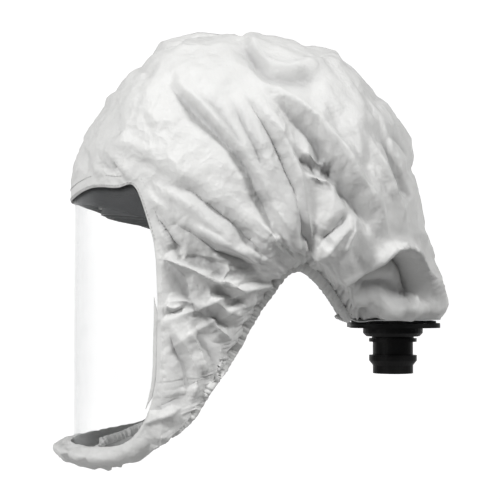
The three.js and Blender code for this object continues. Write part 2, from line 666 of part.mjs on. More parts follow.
// The swivelling spout, from its hose end up to the groove of its retaining clip.
function hoseSpigot(clipLevel) {
  const { radius, bore, neck, ridge, stopTop, end } = SPIGOT;
  const sealZ = INLET.top - SEAL.depth;
  const ridgeStart = end + 6;
  const ridgeEnd = end + 13.5;
  return lathe([
    [bore, end], [radius, end], [radius, ridgeStart], [ridge, ridgeStart + 3.5], [ridge, ridgeEnd],
    [radius, ridgeEnd], [radius, stopTop - 2.5], [ridge, stopTop - 2.5], [ridge, stopTop], [neck, stopTop],
    [neck, sealZ - SEAL.halfWidth], [neck - SEAL.groove, sealZ - SEAL.halfWidth],
    [neck - SEAL.groove, sealZ + SEAL.halfWidth], [neck, sealZ + SEAL.halfWidth],
    [neck, clipLevel], [neck - CLIP.groove, clipLevel],
    [neck - CLIP.groove, clipLevel + CLIP.width], [neck, clipLevel + CLIP.width],
    [neck, clipLevel + CLIP.width + CLIP.lip], [bore, clipLevel + CLIP.width + CLIP.lip],
  ], 36);
}

function hoseInlet() {
  const inlet = new THREE.Group();
  inlet.position.y = INLET.y;
  root.add(inlet);
  put(inlet, "inlet_flange", inletFlange(), BLACK_PLASTIC);

  let level = INLET.top + GAP;
  const layer = (name, thickness, inset, hole, material) => {
    put(inlet, name, inletLayer(inset, hole, thickness, level), material);
    level += thickness + GAP;
  };
  layer("flange_gasket", 1.2, 3, 20, RUBBER);
  layer("nape_panel", 1.2, -0.2, 18, CLOTH_WHITE);
  layer("clamp_plate", 2.4, 2.5, SPIGOT.neck + GAP, BLACK_PLASTIC);

  const { shank, head, headHeight, depth } = CLAMP_SCREW;
  const tip = INLET.top - depth;
  SCREW_PLACES.forEach(([x, y], i) => {
    const screw = lathe([
      [0, tip], [shank, tip], [shank, level], [head, level], [head, level + headHeight * 0.6],
      [0, level + headHeight],
    ], 16);
    put(inlet, `clamp_screw_${i + 1}`, screw.translate(x, y, 0), STEEL);
  });

  const clipLevel = level - GAP / 2;
  put(inlet, "hose_spigot", hoseSpigot(clipLevel), BLACK_PLASTIC);
  const seal = new THREE.TorusGeometry(SPIGOT.neck - SEAL.inset, SEAL.cord, 8, 32);
  put(inlet, "spigot_seal", seal.translate(0, 0, INLET.top - SEAL.depth), RUBBER);
  const clipLow = clipLevel + GAP;
  const clipInner = SPIGOT.neck - CLIP.groove + GAP;
  const clip = arcPlate(clipInner, CLIP.outer, CLIP.from, CLIP.to, clipLow, clipLow + CLIP.thickness, 32);
  put(inlet, "retaining_clip", clip, STEEL);
}

softCover();
neckOpening();
visor();
edgeTapes();
browPad();
frontBand();
foreheadPad();
sizeAdjuster();
crownStraps();
browClips();
airChannel();
hoseInlet();

export default root;
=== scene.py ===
"""The hood of a powered air respirator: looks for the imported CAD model.

A wrinkled cloth cover, its gathered neck hem, a clear visor and the head suspension are built here in
the CAD model's frame: +Z up, -Y the way the wearer faces, +X the wearer's left. Lengths in this script
are millimetres unless a name ends in _m, and are turned to metres as each mesh is made.
"""
import json
import math

import bmesh
import bpy
import numpy as np
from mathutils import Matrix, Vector, noise
from mathutils.kdtree import KDTree


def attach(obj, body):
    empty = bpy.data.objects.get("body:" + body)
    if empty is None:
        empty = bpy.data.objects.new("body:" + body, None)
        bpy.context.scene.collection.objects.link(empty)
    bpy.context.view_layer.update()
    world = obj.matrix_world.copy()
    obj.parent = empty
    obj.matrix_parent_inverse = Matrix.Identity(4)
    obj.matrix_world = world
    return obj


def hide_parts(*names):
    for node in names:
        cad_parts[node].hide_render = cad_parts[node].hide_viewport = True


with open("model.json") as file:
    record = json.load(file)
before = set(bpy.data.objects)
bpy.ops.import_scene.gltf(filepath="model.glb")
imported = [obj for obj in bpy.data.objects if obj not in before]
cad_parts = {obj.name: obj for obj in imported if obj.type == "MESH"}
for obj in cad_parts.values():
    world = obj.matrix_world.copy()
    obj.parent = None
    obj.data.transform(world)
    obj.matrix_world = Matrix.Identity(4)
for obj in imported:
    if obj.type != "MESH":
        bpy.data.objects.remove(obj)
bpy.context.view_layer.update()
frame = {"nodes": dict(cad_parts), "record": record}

MM = 0.001
NODES = frame["nodes"]

# ---------------------------------------------------------------- camera
EYE = (950, 12.2, -58.5)
AIM = (0, 12.2, -21)
SEEN_WIDTH = 375  # what the picture's width covers at the object's middle
SENSOR = 36

camera_data = bpy.data.cameras.new("camera")
camera = bpy.data.objects.new("camera", camera_data)
bpy.context.scene.collection.objects.link(camera)
camera.location = Vector(EYE) * MM
view_line = Vector(AIM) - Vector(EYE)
camera.rotation_euler = view_line.to_track_quat("-Z", "Y").to_euler()
camera_data.sensor_width = SENSOR
camera_data.lens = SENSOR * view_line.length / SEEN_WIDTH
camera_data.clip_start = 0.01
bpy.context.scene.camera = camera


# ---------------------------------------------------------------- material helpers
class Nodes:
    """Short ways to build a material's node tree."""

    def __init__(self, name):
        self.material = bpy.data.materials.new(name)
        self.material.use_nodes = True
        self.tree = self.material.node_tree
        self.shader = next(n for n in self.tree.nodes if n.type == "BSDF_PRINCIPLED")
        self.place = self.add("ShaderNodeNewGeometry").outputs["Position"]

    def add(self, kind, **sockets):
        node = self.tree.nodes.new(kind)
        for key, value in sockets.items():
            self.put(node.inputs[key.replace("_", " ")], value)
        return node

    def put(self, socket, value):
        if isinstance(value, bpy.types.NodeSocket):
            self.tree.links.new(value, socket)
        else:
            socket.default_value = value

    def noise(self, scale, detail=4, roughness=0.55, vector=None):
        node = self.add("ShaderNodeTexNoise", Scale=scale, Detail=detail, Roughness=roughness)
        self.put(node.inputs["Vector"], vector or self.place)
        return node.outputs["Fac"]

    def wander(self, scale, reach):
        """A smoothly varying vector up to about the given length."""
        node = self.add("ShaderNodeTexNoise", Scale=scale, Detail=2)
        self.put(node.inputs["Vector"], self.place)
        scaled = self.add("ShaderNodeVectorMath", Vector=node.outputs["Color"])
        scaled.operation = "SCALE"
        scaled.inputs["Scale"].default_value = reach
        return scaled.outputs["Vector"]

    def cells(self, scale, feature="F1", vector=None, randomness=1.0):
        node = self.add("ShaderNodeTexVoronoi", Scale=scale, Randomness=randomness)
        node.feature = feature
        self.put(node.inputs["Vector"], vector or self.place)
        return node.outputs["Distance"]

    def ramp(self, value, low, high, at=(0.3, 0.7)):
        node = self.add("ShaderNodeMapRange", Value=value)
        for key, number in (("From Min", at[0]), ("From Max", at[1]), ("To Min", low), ("To Max", high)):
            node.inputs[key].default_value = number
        return node.outputs["Result"]

    def math(self, kind, a, b=0.0):
        node = self.add("ShaderNodeMath")
        node.operation = kind
        self.put(node.inputs[0], a)
        self.put(node.inputs[1], b)
        return node.outputs[0]

    def mix(self, factor, a, b):
        node = self.add("ShaderNodeMix")
        node.data_type = "RGBA"
        self.put(node.inputs[0], factor)
        self.put(node.inputs[6], (*a, 1) if isinstance(a, tuple) else a)
        self.put(node.inputs[7], (*b, 1) if isinstance(b, tuple) else b)
        return node.outputs[2]

    def attribute(self, name):
        node = self.add("ShaderNodeAttribute")
        node.attribute_name = name
        return node.outputs["Fac"]

    def stretched(self, x, y, z):
        node = self.add("ShaderNodeMapping", Vector=self.place)
        node.inputs["Scale"].default_value = (x, y, z)
        return node.outputs["Vector"]

    def bump(self, *layers):
        """Each layer is (height socket, depth in mm)."""
        normal = None
        for height, depth in layers:
            node = self.add("ShaderNodeBump", Height=height, Distance=depth * MM, Strength=1.0)
            if normal:
                self.put(node.inputs["Normal"], normal)
            normal = node.outputs["Normal"]
        self.put(self.shader.inputs["Normal"], normal)

    def set(self, **values):
        for key, value in values.items():
            socket = self.shader.inputs[key.replace("_", " ")]
            self.put(socket, (*value, 1) if isinstance(value, tuple) and len(value) == 3 else value)
        return self.material


def coated_cloth(name, light=(0.70, 0.70, 0.69), shade_and_fibre_colour=(0.33, 0.33, 0.33)):
    """White non-woven cloth with a thin coating: soft fibres, crushed facets, a faint gloss, and painted
    shade along fold and pleat valleys.
    """
    n = Nodes(name)
    fibres = n.noise(2400, 3, 0.7)
    emboss = n.cells(1300, randomness=0.3)
    crushed = n.math("ABSOLUTE", n.math("SUBTRACT", n.noise(75, 2, 0.5), 0.5))
    finer = n.math("ABSOLUTE", n.math("SUBTRACT", n.noise(190, 2, 0.5), 0.5))
    soft = n.noise(45, 4, 0.6)
    where = n.ramp(n.noise(16, 3), 0.15, 1, (0.4, 0.65))
    bent = n.add("ShaderNodeVectorMath", Vector=n.place)
    bent.operation = "ADD"
    n.put(bent.inputs[1], n.wander(60, 0.012))
    facets = n.math("MULTIPLY", n.cells(62, vector=bent.outputs[0]), where)
    small_facets = n.math("MULTIPLY", n.cells(150, vector=bent.outputs[0]), where)
    stain = n.noise(12, 4)
    tone = n.mix(n.ramp(stain, 0, 1, (0.35, 0.7)), light, tuple(0.95 * c for c in light))
    # Painted shade: the colour goes towards the darker colour along fold and pleat valleys, by an attribute
    # stored on the cover. The same darker colour also gives a few darker fibres at random.
    tone = n.mix(n.ramp(n.attribute("crease_shade"), 0, 0.65, (0.15, 1)), tone, shade_and_fibre_colour)
    tone = n.mix(n.ramp(fibres, 0, 0.06), tone, shade_and_fibre_colour)
    n.bump((soft, 0.3), (facets, 1.9), (small_facets, 0.8), (crushed, 0.9), (finer, 0.45), (emboss, 0.05),
           (fibres, 0.03))
    n.put(n.shader.inputs["Roughness"], n.ramp(soft, 0.44, 0.6))
    n.shader.inputs["Specular IOR Level"].default_value = 0.4
    n.shader.inputs["Sheen Weight"].default_value = 0.1
    n.shader.inputs["Sheen Roughness"].default_value = 0.5
    return n.set(Base_Color=tone)


def clear_sheet(name):
    """Thin clear plastic, faintly hazed and scuffed."""
    n = Nodes(name)
    scuffs = n.noise(9, 6, 0.7, n.stretched(1, 1, 6))
    n.put(n.shader.inputs["Roughness"], n.ramp(scuffs, 0.05, 0.16))
    n.bump((n.noise(6, 2), 0.4))
    n.shader.inputs["IOR"].default_value = 1.2
    n.shader.inputs["Specular IOR Level"].default_value = 0.35
    grazing = n.add("ShaderNodeLayerWeight", Blend=0.35).outputs["Facing"]
    edge_haze = n.ramp(grazing, 0, 0.2, (0.35, 1))
    n.put(n.shader.inputs["Alpha"], n.math("ADD", n.ramp(scuffs, 0.03, 0.05), edge_haze))
    return n.set(Base_Color=n.mix(scuffs, (0.66, 0.68, 0.69), (0.74, 0.76, 0.77)))


def moulded(name, colour, roughness=0.42, grain=0.05, gloss=0.5):
    """Moulded plastic with a fine spark-eroded grain and rubbed, slightly paler high spots."""
    n = Nodes(name)
    grainy = n.noise(1800, 2, 0.6)
    rubbed = n.noise(35, 5, 0.65)
    pale = tuple(min(1, c * 1.25 + 0.004) for c in colour)
    tone = n.mix(n.ramp(rubbed, 0, 1, (0.5, 0.75)), colour, pale)
    n.put(n.shader.inputs["Roughness"], n.ramp(rubbed, roughness, roughness + 0.14))
    n.bump((grainy, grain), (rubbed, 0.05))
    n.shader.inputs["Specular IOR Level"].default_value = gloss
    return n.set(Base_Color=tone)


def foam_cloth(name, colour=(0.010, 0.010, 0.011)):
    """Dark knitted cloth over foam: rows of small loops and a mottled nap."""
    n = Nodes(name)
    loops = n.cells(800, randomness=0.25)
    nap = n.noise(120, 5, 0.7)
    blotch = n.noise(30, 3)
    tone = n.mix(n.ramp(nap, 0, 1), colour, tuple(1.9 * c for c in colour))
    tone = n.mix(n.ramp(blotch, 0, 0.5), tone, tuple(0.5 * c for c in colour))
    n.bump((loops, 0.25), (nap, 0.3))
    n.shader.inputs["Roughness"].default_value = 0.95
    n.shader.inputs["Sheen Weight"].default_value = 0.1
    n.shader.inputs["Specular IOR Level"].default_value = 0.2
    return n.set(Base_Color=tone)


def knitted(name, colour=(0.82, 0.81, 0.78)):
    """Ribbed elastic."""
    n = Nodes(name)
    ribs = n.cells(1500, randomness=0.2)
    tone = n.mix(n.ramp(ribs, 0, 1, (0.1, 0.6)), colour, tuple(0.75 * c for c in colour))
    n.bump((ribs, 0.12))
    n.shader.inputs["Roughness"].default_value = 0.85
    return n.set(Base_Color=tone)


def metal(name):
    n = Nodes(name)
    brushed = n.noise(900, 3, 0.6, n.stretched(1, 1, 12))
    n.put(n.shader.inputs["Roughness"], n.ramp(brushed, 0.25, 0.42))
    n.bump((brushed, 0.02))
    n.shader.inputs["Metallic"].default_value = 1.0
    return n.set(Base_Color=n.mix(brushed, (0.62, 0.63, 0.65), (0.5, 0.51, 0.53)))


CLOTH = coated_cloth("coated_cloth")
LINING = coated_cloth("lining_cloth", (0.74, 0.75, 0.75), (0.55, 0.56, 0.57))
VISOR = clear_sheet("visor_sheet")
FOAM = foam_cloth("foam")
ELASTIC = knitted("elastic")
BLACK = moulded("black_plastic", (0.003, 0.003, 0.0032), 0.42, gloss=0.25)
GREY = moulded("grey_plastic", (0.055, 0.056, 0.06), 0.5)
WHITE = moulded("white_plastic", (0.72, 0.72, 0.70), 0.42)
GRIP = moulded("grip_rubber", (0.025, 0.025, 0.026), 0.7, 0.12)
RUBBER = moulded("gasket_rubber", (0.02, 0.02, 0.02), 0.75, 0.08)
STEEL = metal("plated_steel")
THREAD = knitted("sewing_thread", (0.66, 0.66, 0.65))

FINISH = {
    "coated_cloth": CLOTH, "channel_cloth": LINING, "elastic": ELASTIC, "visor": VISOR, "foam": FOAM,
    "grey_plastic": GREY, "white_plastic": WHITE, "black_plastic": BLACK, "knob_rubber": GRIP,
    "gasket_rubber": RUBBER, "steel": STEEL,
}
for subpart in frame["record"]["subparts"]:
    node = NODES[subpart["node"]]
    node.data.materials.clear()
    node.data.materials.append(FINISH[subpart["material_slot"]])


# ---------------------------------------------------------------- mesh helpers
def mesh_object(name, points, faces, material, smooth=True):
    """A mesh from points in millimetres, linked to the scene."""
    mesh = bpy.data.meshes.new(name)
    mesh.from_pydata((np.asarray(points, float) * MM).tolist(), [], [tuple(f) for f in faces])
    mesh.materials.append(material)
    mesh.polygons.foreach_set("use_smooth", [smooth] * len(mesh.polygons))
    mesh.update()
    o = bpy.data.objects.new(name, mesh)
    bpy.context.scene.collection.objects.link(o)
    return o


def points_of(mesh):
    """A mesh's points in millimetres."""
    flat = np.empty(len(mesh.vertices) * 3)
    mesh.vertices.foreach_get("co", flat)
    return flat.reshape(-1, 3) / MM


def set_points(mesh, points):
    mesh.vertices.foreach_set("co", (points * MM).ravel())
    mesh.update()


def normals_of(mesh):
    flat = np.empty(len(mesh.vertices) * 3)
    mesh.vertices.foreach_get("normal", flat)
    return flat.reshape(-1, 3)


def apply_modifiers(o):
    """Bakes an object's modifiers into its mesh."""
    graph = bpy.context.evaluated_depsgraph_get()
    baked = bpy.data.meshes.new_from_object(o.evaluated_get(graph))
    o.modifiers.clear()
    o.data = baked


def smoothstep(x):
    x = np.clip(x, 0, 1)
    return x * x * (3 - 2 * x)


# ---------------------------------------------------------------- the cover's worn shape
# The cover is one sleeve from the face opening to the neck opening. Each guide is a line along it,
# from the face to the neck: the first is the middle line over the crown, the last is the middle line
# under the chin, and those between go down the wearer's left side, as in the CAD model.
GUIDES = [
    [(0, -120.2, 14), (0, -120.3, 27), (0, -117, 44), (0, -106, 68), (0, -86, 98), (0, -54, 125),
     (0, -12, 136), (0, 30, 136), (0, 69, 126), (0, 103, 99), (0, 126, 70), (0, 134, 38), (0, 137, 6),
     (0, 149, -27), (0, 155.5, -52), (0, 154, -73)],
    [(42.5, -111.9, 14.5), (43.5, -111.9, 27), (47, -107, 46), (50, -94, 74), (54, -60, 112),
     (57, -12, 127), (58, 30, 127), (56, 72, 114), (50, 106, 84), (44, 126, 50), (40, 134, 10),
     (37, 143, -28), (33, 149, -52), (28, 148, -73)],
    [(80.2, -86.9, 14), (82.2, -86, 27), (88, -78, 50), (92, -58, 80), (95, -14, 100), (95, 30, 101),
     (92, 70, 88), (82, 104, 54), (72, 122, 10), (62, 130, -30), (51, 132, -56), (40, 128, -73)],
    [(97.2, -65.1, 5), (101.2, -59.5, 17), (107, -50, 34), (112, -30, 50), (115, 2, 58), (115, 36, 56),
     (110, 68, 40), (98, 92, 8), (84, 104, -28), (60, 106, -58), (42, 103, -73)],
    [(103.6, -52.8, -16), (110, -38, -4), (117, -10, 10), (118, 20, 12), (115, 46, 2), (106, 66, -16),
     (92, 76, -38), (66, 82, -60), (47, 82, -71)],
    [(105.2, -49.2, -50), (109, -38, -44), (113, -12, -32), (111, 16, -26), (103, 38, -27), (90, 50, -34),
     (80, 47, -38)],
    [(105.2, -49.2, -85), (107.8, -42, -83), (107, -30, -78), (101, -12, -71), (90, 8, -66), (79, 19, -63),
     (74, 22, -61.6)],
    [(104.7, -50.5, -115), (107.4, -43.5, -114.5), (104, -32, -113), (94, -18, -111), (80, -9, -108),
     (68, -8, -106.5)],
    [(101.1, -58.2, -140), (105.4, -49, -143), (102, -41, -145), (93, -33, -143), (85, -28, -140),
     (79, -25, -137)],
    [(91.8, -73.4, -157), (94, -71, -163), (90, -62, -167), (82, -50, -161), (76, -42, -154)],
    [(66.7, -98.5, -164.5), (73, -102, -171), (69, -94, -177.5), (61, -78, -178), (57, -73, -173)],
    [(31.3, -115.8, -165.5), (34, -126.5, -170), (32, -120, -178), (28, -108, -181), (26, -103, -177)],
    [(0, -120.2, -165), (0, -132.5, -169.5), (0, -124, -177.5), (0, -114, -181), (0, -108, -177.5)],
]
CHIN = len(GUIDES) - 1
AROUND = 2 * CHIN  # guides all the way round the sleeve
LINE_STEPS = 400

VISOR_RADIUS = 112.3
VISOR_Y = -6.7  # axis of the visor's cylinder
VISOR_TOP, VISOR_CORNER_Z, VISOR_SIDE_Y = 23.5, -150, -46
CLOTH_ON_VISOR = VISOR_RADIUS + 1.75
RELEASE = 0.6  # how fast the cloth may come inside that cylinder past the visor's edges
INLET_Y, INLET_LEVEL = 119, -72.9


def rounded_line(points, per_span=60, steps=LINE_STEPS):
    """A centripetal Catmull-Rom curve through points, as evenly spaced points."""
    p = np.array(points, float)
    p = np.vstack([2 * p[0] - p[1], p, 2 * p[-1] - p[-2]])
    out = []
    for k in range(1, len(p) - 2):
        q = p[k - 1:k + 3]
        t = np.concatenate([[0], np.cumsum(np.sqrt(np.linalg.norm(np.diff(q, axis=0), axis=1)))])
        x = np.linspace(t[1], t[2], per_span, endpoint=k == len(p) - 3)[:, None]
        a = [((t[i + 1] - x) * q[i] + (x - t[i]) * q[i + 1]) / (t[i + 1] - t[i]) for i in range(3)]
        b = [((t[i + 2] - x) * a[i] + (x - t[i]) * a[i + 1]) / (t[i + 2] - t[i]) for i in range(2)]
        out.append(((t[2] - x) * b[0] + (x - t[1]) * b[1]) / (t[2] - t[1]))
    return evenly(np.vstack(out), steps + 1)


def evenly(line, count):
    """A line of points again, as that many evenly spaced points."""
    along = np.concatenate([[0], np.cumsum(np.linalg.norm(np.diff(line, axis=0), axis=1))])
    at = np.linspace(0, along[-1], count)
    return np.stack([np.interp(at, along, line[:, i]) for i in range(3)], axis=1)


CHIN_LIFT = {9: 1.5, 10: 4.5, 11: 4.5, 12: 3.5}  # the worn chin is drawn up, by guide
LEFT_LINES = [rounded_line(points) + (0, 0, CHIN_LIFT.get(k, 0)) for k, points in enumerate(GUIDES)]
LINES = np.array(LEFT_LINES + [LEFT_LINES[k] * (-1, 1, 1) for k in range(CHIN - 1, 0, -1)])


def cover_points(s, t):
    """Points of the cover: s counts the guides round the sleeve, t goes from the face to the neck."""
    s, t = np.broadcast_arrays(np.asarray(s, float), np.asarray(t, float))
    k = np.floor(s).astype(int)
    f = (s - k)[..., None]
    place = np.clip(t, 0, 1) * LINE_STEPS
    low = np.minimum(place.astype(int), LINE_STEPS - 1)
    share = (place - low)[..., None]
    a, b, c, d = [
        LINES[(k + i) % AROUND, low] * (1 - share) + LINES[(k + i) % AROUND, low + 1] * share
        for i in (-1, 0, 1, 2)
    ]
    p = b + 0.5 * f * (c - a + f * (2 * a - 5 * b + 4 * c - d + f * (3 * (b - c) + d - a)))
    return outside_visor(p)


def outside_visor(p, clear=0.0):
    """The cloth lies on the visor where they overlap, and comes inside its cylinder only beyond it."""
    past = [p[..., 2] - VISOR_TOP - 2, VISOR_CORNER_Z - p[..., 2], p[..., 1] - VISOR_SIDE_Y]
    beyond = sum(np.maximum(0, distance) for distance in past)
    least = CLOTH_ON_VISOR + clear - RELEASE * beyond
    radius = np.hypot(p[..., 0], p[..., 1] - VISOR_Y)
    push = (radius < least) & (p[..., 1] < VISOR_Y)
    share = np.where(push, least / np.maximum(radius, 1e-6), 1.0)
    out = p.copy()
    out[..., 0] = p[..., 0] * share
    out[..., 1] = VISOR_Y + (p[..., 1] - VISOR_Y) * share
    return out


# ---------------------------------------------------------------- the cloth cover
ROWS = 160
COLUMNS = [(4, 20), (5, 68), (3, 20)]  # guides, and columns for each: close together at the neck arch
WIDER = 0.92  # the folds' widths below are multiplied by this, and their heights by the next two
DEEPER = 1.7
CROWN_DEEPER = 0.8
MERGE = 3.4  # grid points closer than this become one, so the cloth has even cells to wrinkle in
GROWTH = 0.03  # how much more cloth there is than the smooth shape needs
SIM_FRAMES = 22
MOST_MOVED = 1.8  # how far the simulation may move a point
COVER_THICKNESS = 0.5
WARP = 1.0  # how far folds wander from their drawn lines
OTHER_SIDE = (0, 5, -4)  # the wearer's right side wrinkles like the left one, but not in the same places
BROW_LIFT = 5
BROW_CORNER = 8
ROLL_FROM = 0.92  # where along the cloth its roll over the inlet starts
DEEPEST_OVER_DUCT = 2.4
ARCH = (50, -45)  # Y and Z of the top of the neck arch
DRAWN_UP = 4.5
DRAWN_UP_RIGHT = 6
NECK_MIDDLE = (0, 20, -115)

# Folds of the worn cloth: height in millimetres, half width, and the line on the wearer's left side.
# Nearly all of these lines' points were not chosen by hand: a separate script projected places read off
# the photograph onto the cover and printed them.
FOLDS = [
    (-6.5, 6, [(109, 9, 79), (117, 26, 47), (118, 34, 30), (117, 40, 13), (114, 45, -5), (108, 50, -21),
               (95, 54, -32)]),
    (3.5, 7, [(110, 20, 77), (116, 32, 55), (117, 42, 33), (116, 48, 10), (112, 51, -9), (105, 55, -24)]),
    (3, 8, [(112, 6, 70), (118, 23, 35), (118, 31, 14), (115, 38, -5), (106, 44, -24)]),
    (-5, 5, [(95, -43, 88), (111, -20, 62), (118, 6, 32), (118, 15, 14), (117, 23, 0), (114, 28, -15)]),
    (3, 6, [(98, -35, 87), (107, -20, 75), (114, -6, 58), (118, 9, 40), (118, 19, 20), (117, 28, 1)]),
    (-3, 5, [(109, 0, 77), (116, 8, 57), (118, 16, 40), (118, 22, 23)]),
    (-2.5, 4, [(105, -21, 80), (111, -10, 69), (116, 1, 53), (118, 10, 40)]),
    (4, 6, [(103, 19, 90), (108, 50, 69), (109, 67, 50), (105, 80, 32), (98, 92, 14), (85, 108, -14)]),
    (-6, 7, [(109, 24, 78), (112, 53, 53), (112, 64, 36), (108, 75, 22), (101, 87, 3), (90, 100, -17)]),
    (-4.5, 4, [(116, 38, 47), (116, 48, 34), (114, 59, 29), (110, 70, 21), (106, 78, 9), (103, 82, -1)]),
    (-3, 3, [(114, 56, 40), (112, 65, 30), (108, 74, 27)]),
    (3, 3, [(116, 47, 41), (114, 59, 34), (110, 70, 35)]),
    (2.5, 3, [(116, 50, 24), (112, 64, 22), (108, 75, 15)]),
    (-4, 4, [(83, 101, 59), (80, 110, 41), (74, 118, 26), (69, 124, 8)]),
    (3, 4, [(92, 94, 50), (89, 103, 34), (82, 112, 13), (74, 121, -6)]),
    (-2, 3, [(72, 110, 58), (61, 118, 52), (50, 125, 46)]),
    (2.5, 7, [(56, 10, 129), (91, 23, 106), (94, 43, 100), (69, 68, 110)]),
    (-3, 7, [(68, 7, 124), (89, 13, 109), (100, 24, 96), (100, 45, 90), (92, 62, 94)]),
    (3.5, 4, [(84, -84, 42), (92, -75, 33), (97, -67, 21), (100, -62, 11), (103, -56, -1)]),
    (-4, 3.5, [(87, -81, 37), (91, -76, 29), (94, -71, 22)]),
    (-1.8, 2, [(71, -94, 39), (86, -83, 30), (94, -72, 21)]),
    (-1.8, 2, [(76, -92, 25), (85, -83, 23), (93, -73, 20)]),
    (1.8, 2, [(65, -99, 37), (83, -86, 26), (92, -74, 20)]),
    (-4, 5, [(110, -41, 18), (113, -28, 13), (116, -15, 3), (117, -4, -6), (115, 9, -17), (109, 20, -27)]),
    (3.5, 5, [(110, -39, 11), (114, -27, 4), (115, -16, -5), (115, -4, -15), (114, 5, -24)]),
    (-6, 5, [(110, -37, -8), (113, -27, -15), (114, -17, -21), (114, -6, -28), (110, 5, -34), (99, 19, -42)]),
    (3.5, 4, [(112, -30, -7), (115, -17, -14), (115, -3, -22), (112, 8, -28), (104, 19, -36)]),
    (-4, 3.5, [(103, -55, 0), (107, -47, -9), (109, -40, -19), (111, -34, -28)]),
    (3, 3.5, [(105, -51, -7), (107, -45, -16), (109, -39, -25)]),
    (-3, 5, [(111, -33, -29), (112, -23, -31), (112, -13, -35), (109, -3, -43)]),
    (4.5, 4.5, [(107, -47, -31), (111, -28, -37), (111, -14, -43), (103, 3, -49), (97, 11, -53)]),
    (-6, 7, [(106, -49, -37), (109, -40, -40), (110, -33, -50), (109, -28, -58), (104, -17, -69),
             (91, -1, -77)]),
    (3, 3.5, [(107, -14, -56), (100, -5, -64), (90, 6, -68)]),
    (-2.5, 4, [(108, -12, -51), (102, -2, -57), (93, 9, -62)]),
    (4, 4, [(108, -41, -59), (109, -29, -59), (105, -17, -68), (97, -9, -77), (87, -1, -85)]),
    (2.5, 3, [(107, -44, -61), (109, -38, -64), (109, -33, -62)]),
    (-2.5, 2.5, [(107, -43, -68), (109, -37, -66), (109, -32, -64)]),
    (-3.5, 3.5, [(105, -23, -78), (101, -19, -87), (94, -13, -95), (90, -12, -104)]),
    (3, 3.5, [(107, -29, -78), (103, -23, -88), (99, -20, -100), (95, -18, -109)]),
    (-2.5, 4, [(108, -41, -81), (107, -37, -92), (105, -31, -105), (102, -30, -120)]),
    (2.5, 4, [(108, -38, -78), (105, -29, -93), (100, -25, -112), (99, -27, -125)]),
    (-3, 3.5, [(104, -53, -130), (107, -43, -127), (102, -31, -123)]),
    (3, 3.5, [(101, -59, -141), (107, -46, -135), (104, -35, -130)]),
    (-4, 4, [(105, 59, -23), (107, 64, -17), (106, 69, -11), (105, 78, -2)]),
    (4, 5, [(100, 60, -31), (104, 67, -22), (104, 74, -12), (102, 82, -6)]),
    (3, 4, [(99, 74, -28), (101, 78, -18), (101, 84, -7)]),
    (7.5, 4.5, [(83, 79, -47), (84, 91, -40), (85, 102, -30), (82, 110, -23), (75, 117, -22), (67, 126, -25),
            (57, 134, -35), (43, 143, -49), (30, 149, -62)]),
    (-11, 9, [(73, 83, -55), (76, 95, -48), (77, 105, -39), (71, 118, -33), (65, 124, -37), (45, 138, -58)]),
    (-8, 12, [(66, 84, -62), (67, 100, -57), (61, 118, -55), (48, 134, -60)]),
    (4.5, 6, [(54, 98, -66), (47, 115, -68), (39, 134, -72)]),
    (-4, 5, [(54, 89, -67), (45, 99, -71), (42, 108, -73)]),
]
# Folds over the crown, from one side to the other.
CROWN_FOLDS = [
    (-3, 6, [(-50, -2, 127), (0, 4, 137), (40, 8, 132), (68, 9, 122)]),
    (4, 5, [(-45, 20, 131), (0, 14, 138), (45, 11, 131), (70, 16, 118)]),
    (2.5, 5, [(-30, -18, 134), (10, -20, 133), (50, -30, 122), (75, -40, 104)]),
    (-2.5, 7, [(-50, 40, 126), (0, 48, 132), (50, 52, 120), (85, 60, 98)]),
    (3, 7, [(-50, 76, 106), (0, 78, 122), (45, 72, 116), (80, 74, 96)]),
    (-3, 8, [(-45, 100, 80), (0, 108, 92), (50, 100, 84), (70, 96, 78)]),
    (-2.5, 6, [(-40, -60, 112), (0, -70, 112), (40, -66, 108), (80, -52, 92)]),
    (2, 5, [(-55, -80, 88), (0, -92, 90), (50, -84, 84), (78, -66, 78)]),
    (2.5, 6, [(-45, 118, 60), (0, 130, 62), (40, 124, 56)]),
    (-2.5, 6, [(-40, 122, 34), (0, 134, 40), (45, 126, 34), (68, 120, 30)]),
]


def cover_columns():
    """Where the grid's columns lie round the sleeve, the same on both sides."""
    half = [0.0]
    for guides, columns in COLUMNS:
        half += list(half[-1] + np.arange(1, guides * columns + 1) / columns)
    left = np.array(half)
    return np.concatenate([left, AROUND - left[-2:0:-1]])


def cover_grid(rows):
    """The sleeve as a grid closed round s: points, faces and each point's s and t."""
    columns = cover_columns()
    count = len(columns)
    s, t = np.meshgrid(columns, np.linspace(0, 1, rows + 1), indexing="ij")
    points = cover_points(s, t).reshape(-1, 3)
    i, j = np.meshgrid(np.arange(count), np.arange(rows), indexing="ij")
    n = (i + 1) % count
    width = rows + 1
    quads = np.stack([i * width + j, i * width + j + 1, n * width + j + 1, n * width + j], axis=-1)
    s = s.ravel()
    return points, quads.reshape(-1, 4), np.minimum(s, AROUND - s), t.ravel()


def store(mesh, name, values):
    layer = mesh.attributes.get(name) or mesh.attributes.new(name, "FLOAT", "POINT")
    layer.data.foreach_set("value", np.asarray(values, np.float32))


def noise_at(points, size, seed=0):
    """Smooth noise from -1 to 1 at points in millimetres, with lumps of about the given size."""
    shift = Vector((seed * 17.3, seed * 5.1, seed * 9.7))
    return np.array([noise.noise(Vector(p) + shift) for p in points / size])


def drawn_out(points):
    """Places whose noise is stretched the way the cloth hangs, down and back."""
    along = points @ (0, 0.6, -0.8)
    across = points @ (0, 0.8, 0.6)
    return np.stack([points[:, 0] * 0.5, across, along * 0.24], axis=1)


def creased(places, size, seed=0):
    """Noise with sharp ridges, as in crushed paper, from -1 to 1."""
    return 1 - 4 * np.abs(noise_at(places, size, seed))


def curve_through(path, per_span=7):
    """A fold's line with rounded bends."""
    return rounded_line(path, per_span, per_span * len(path))


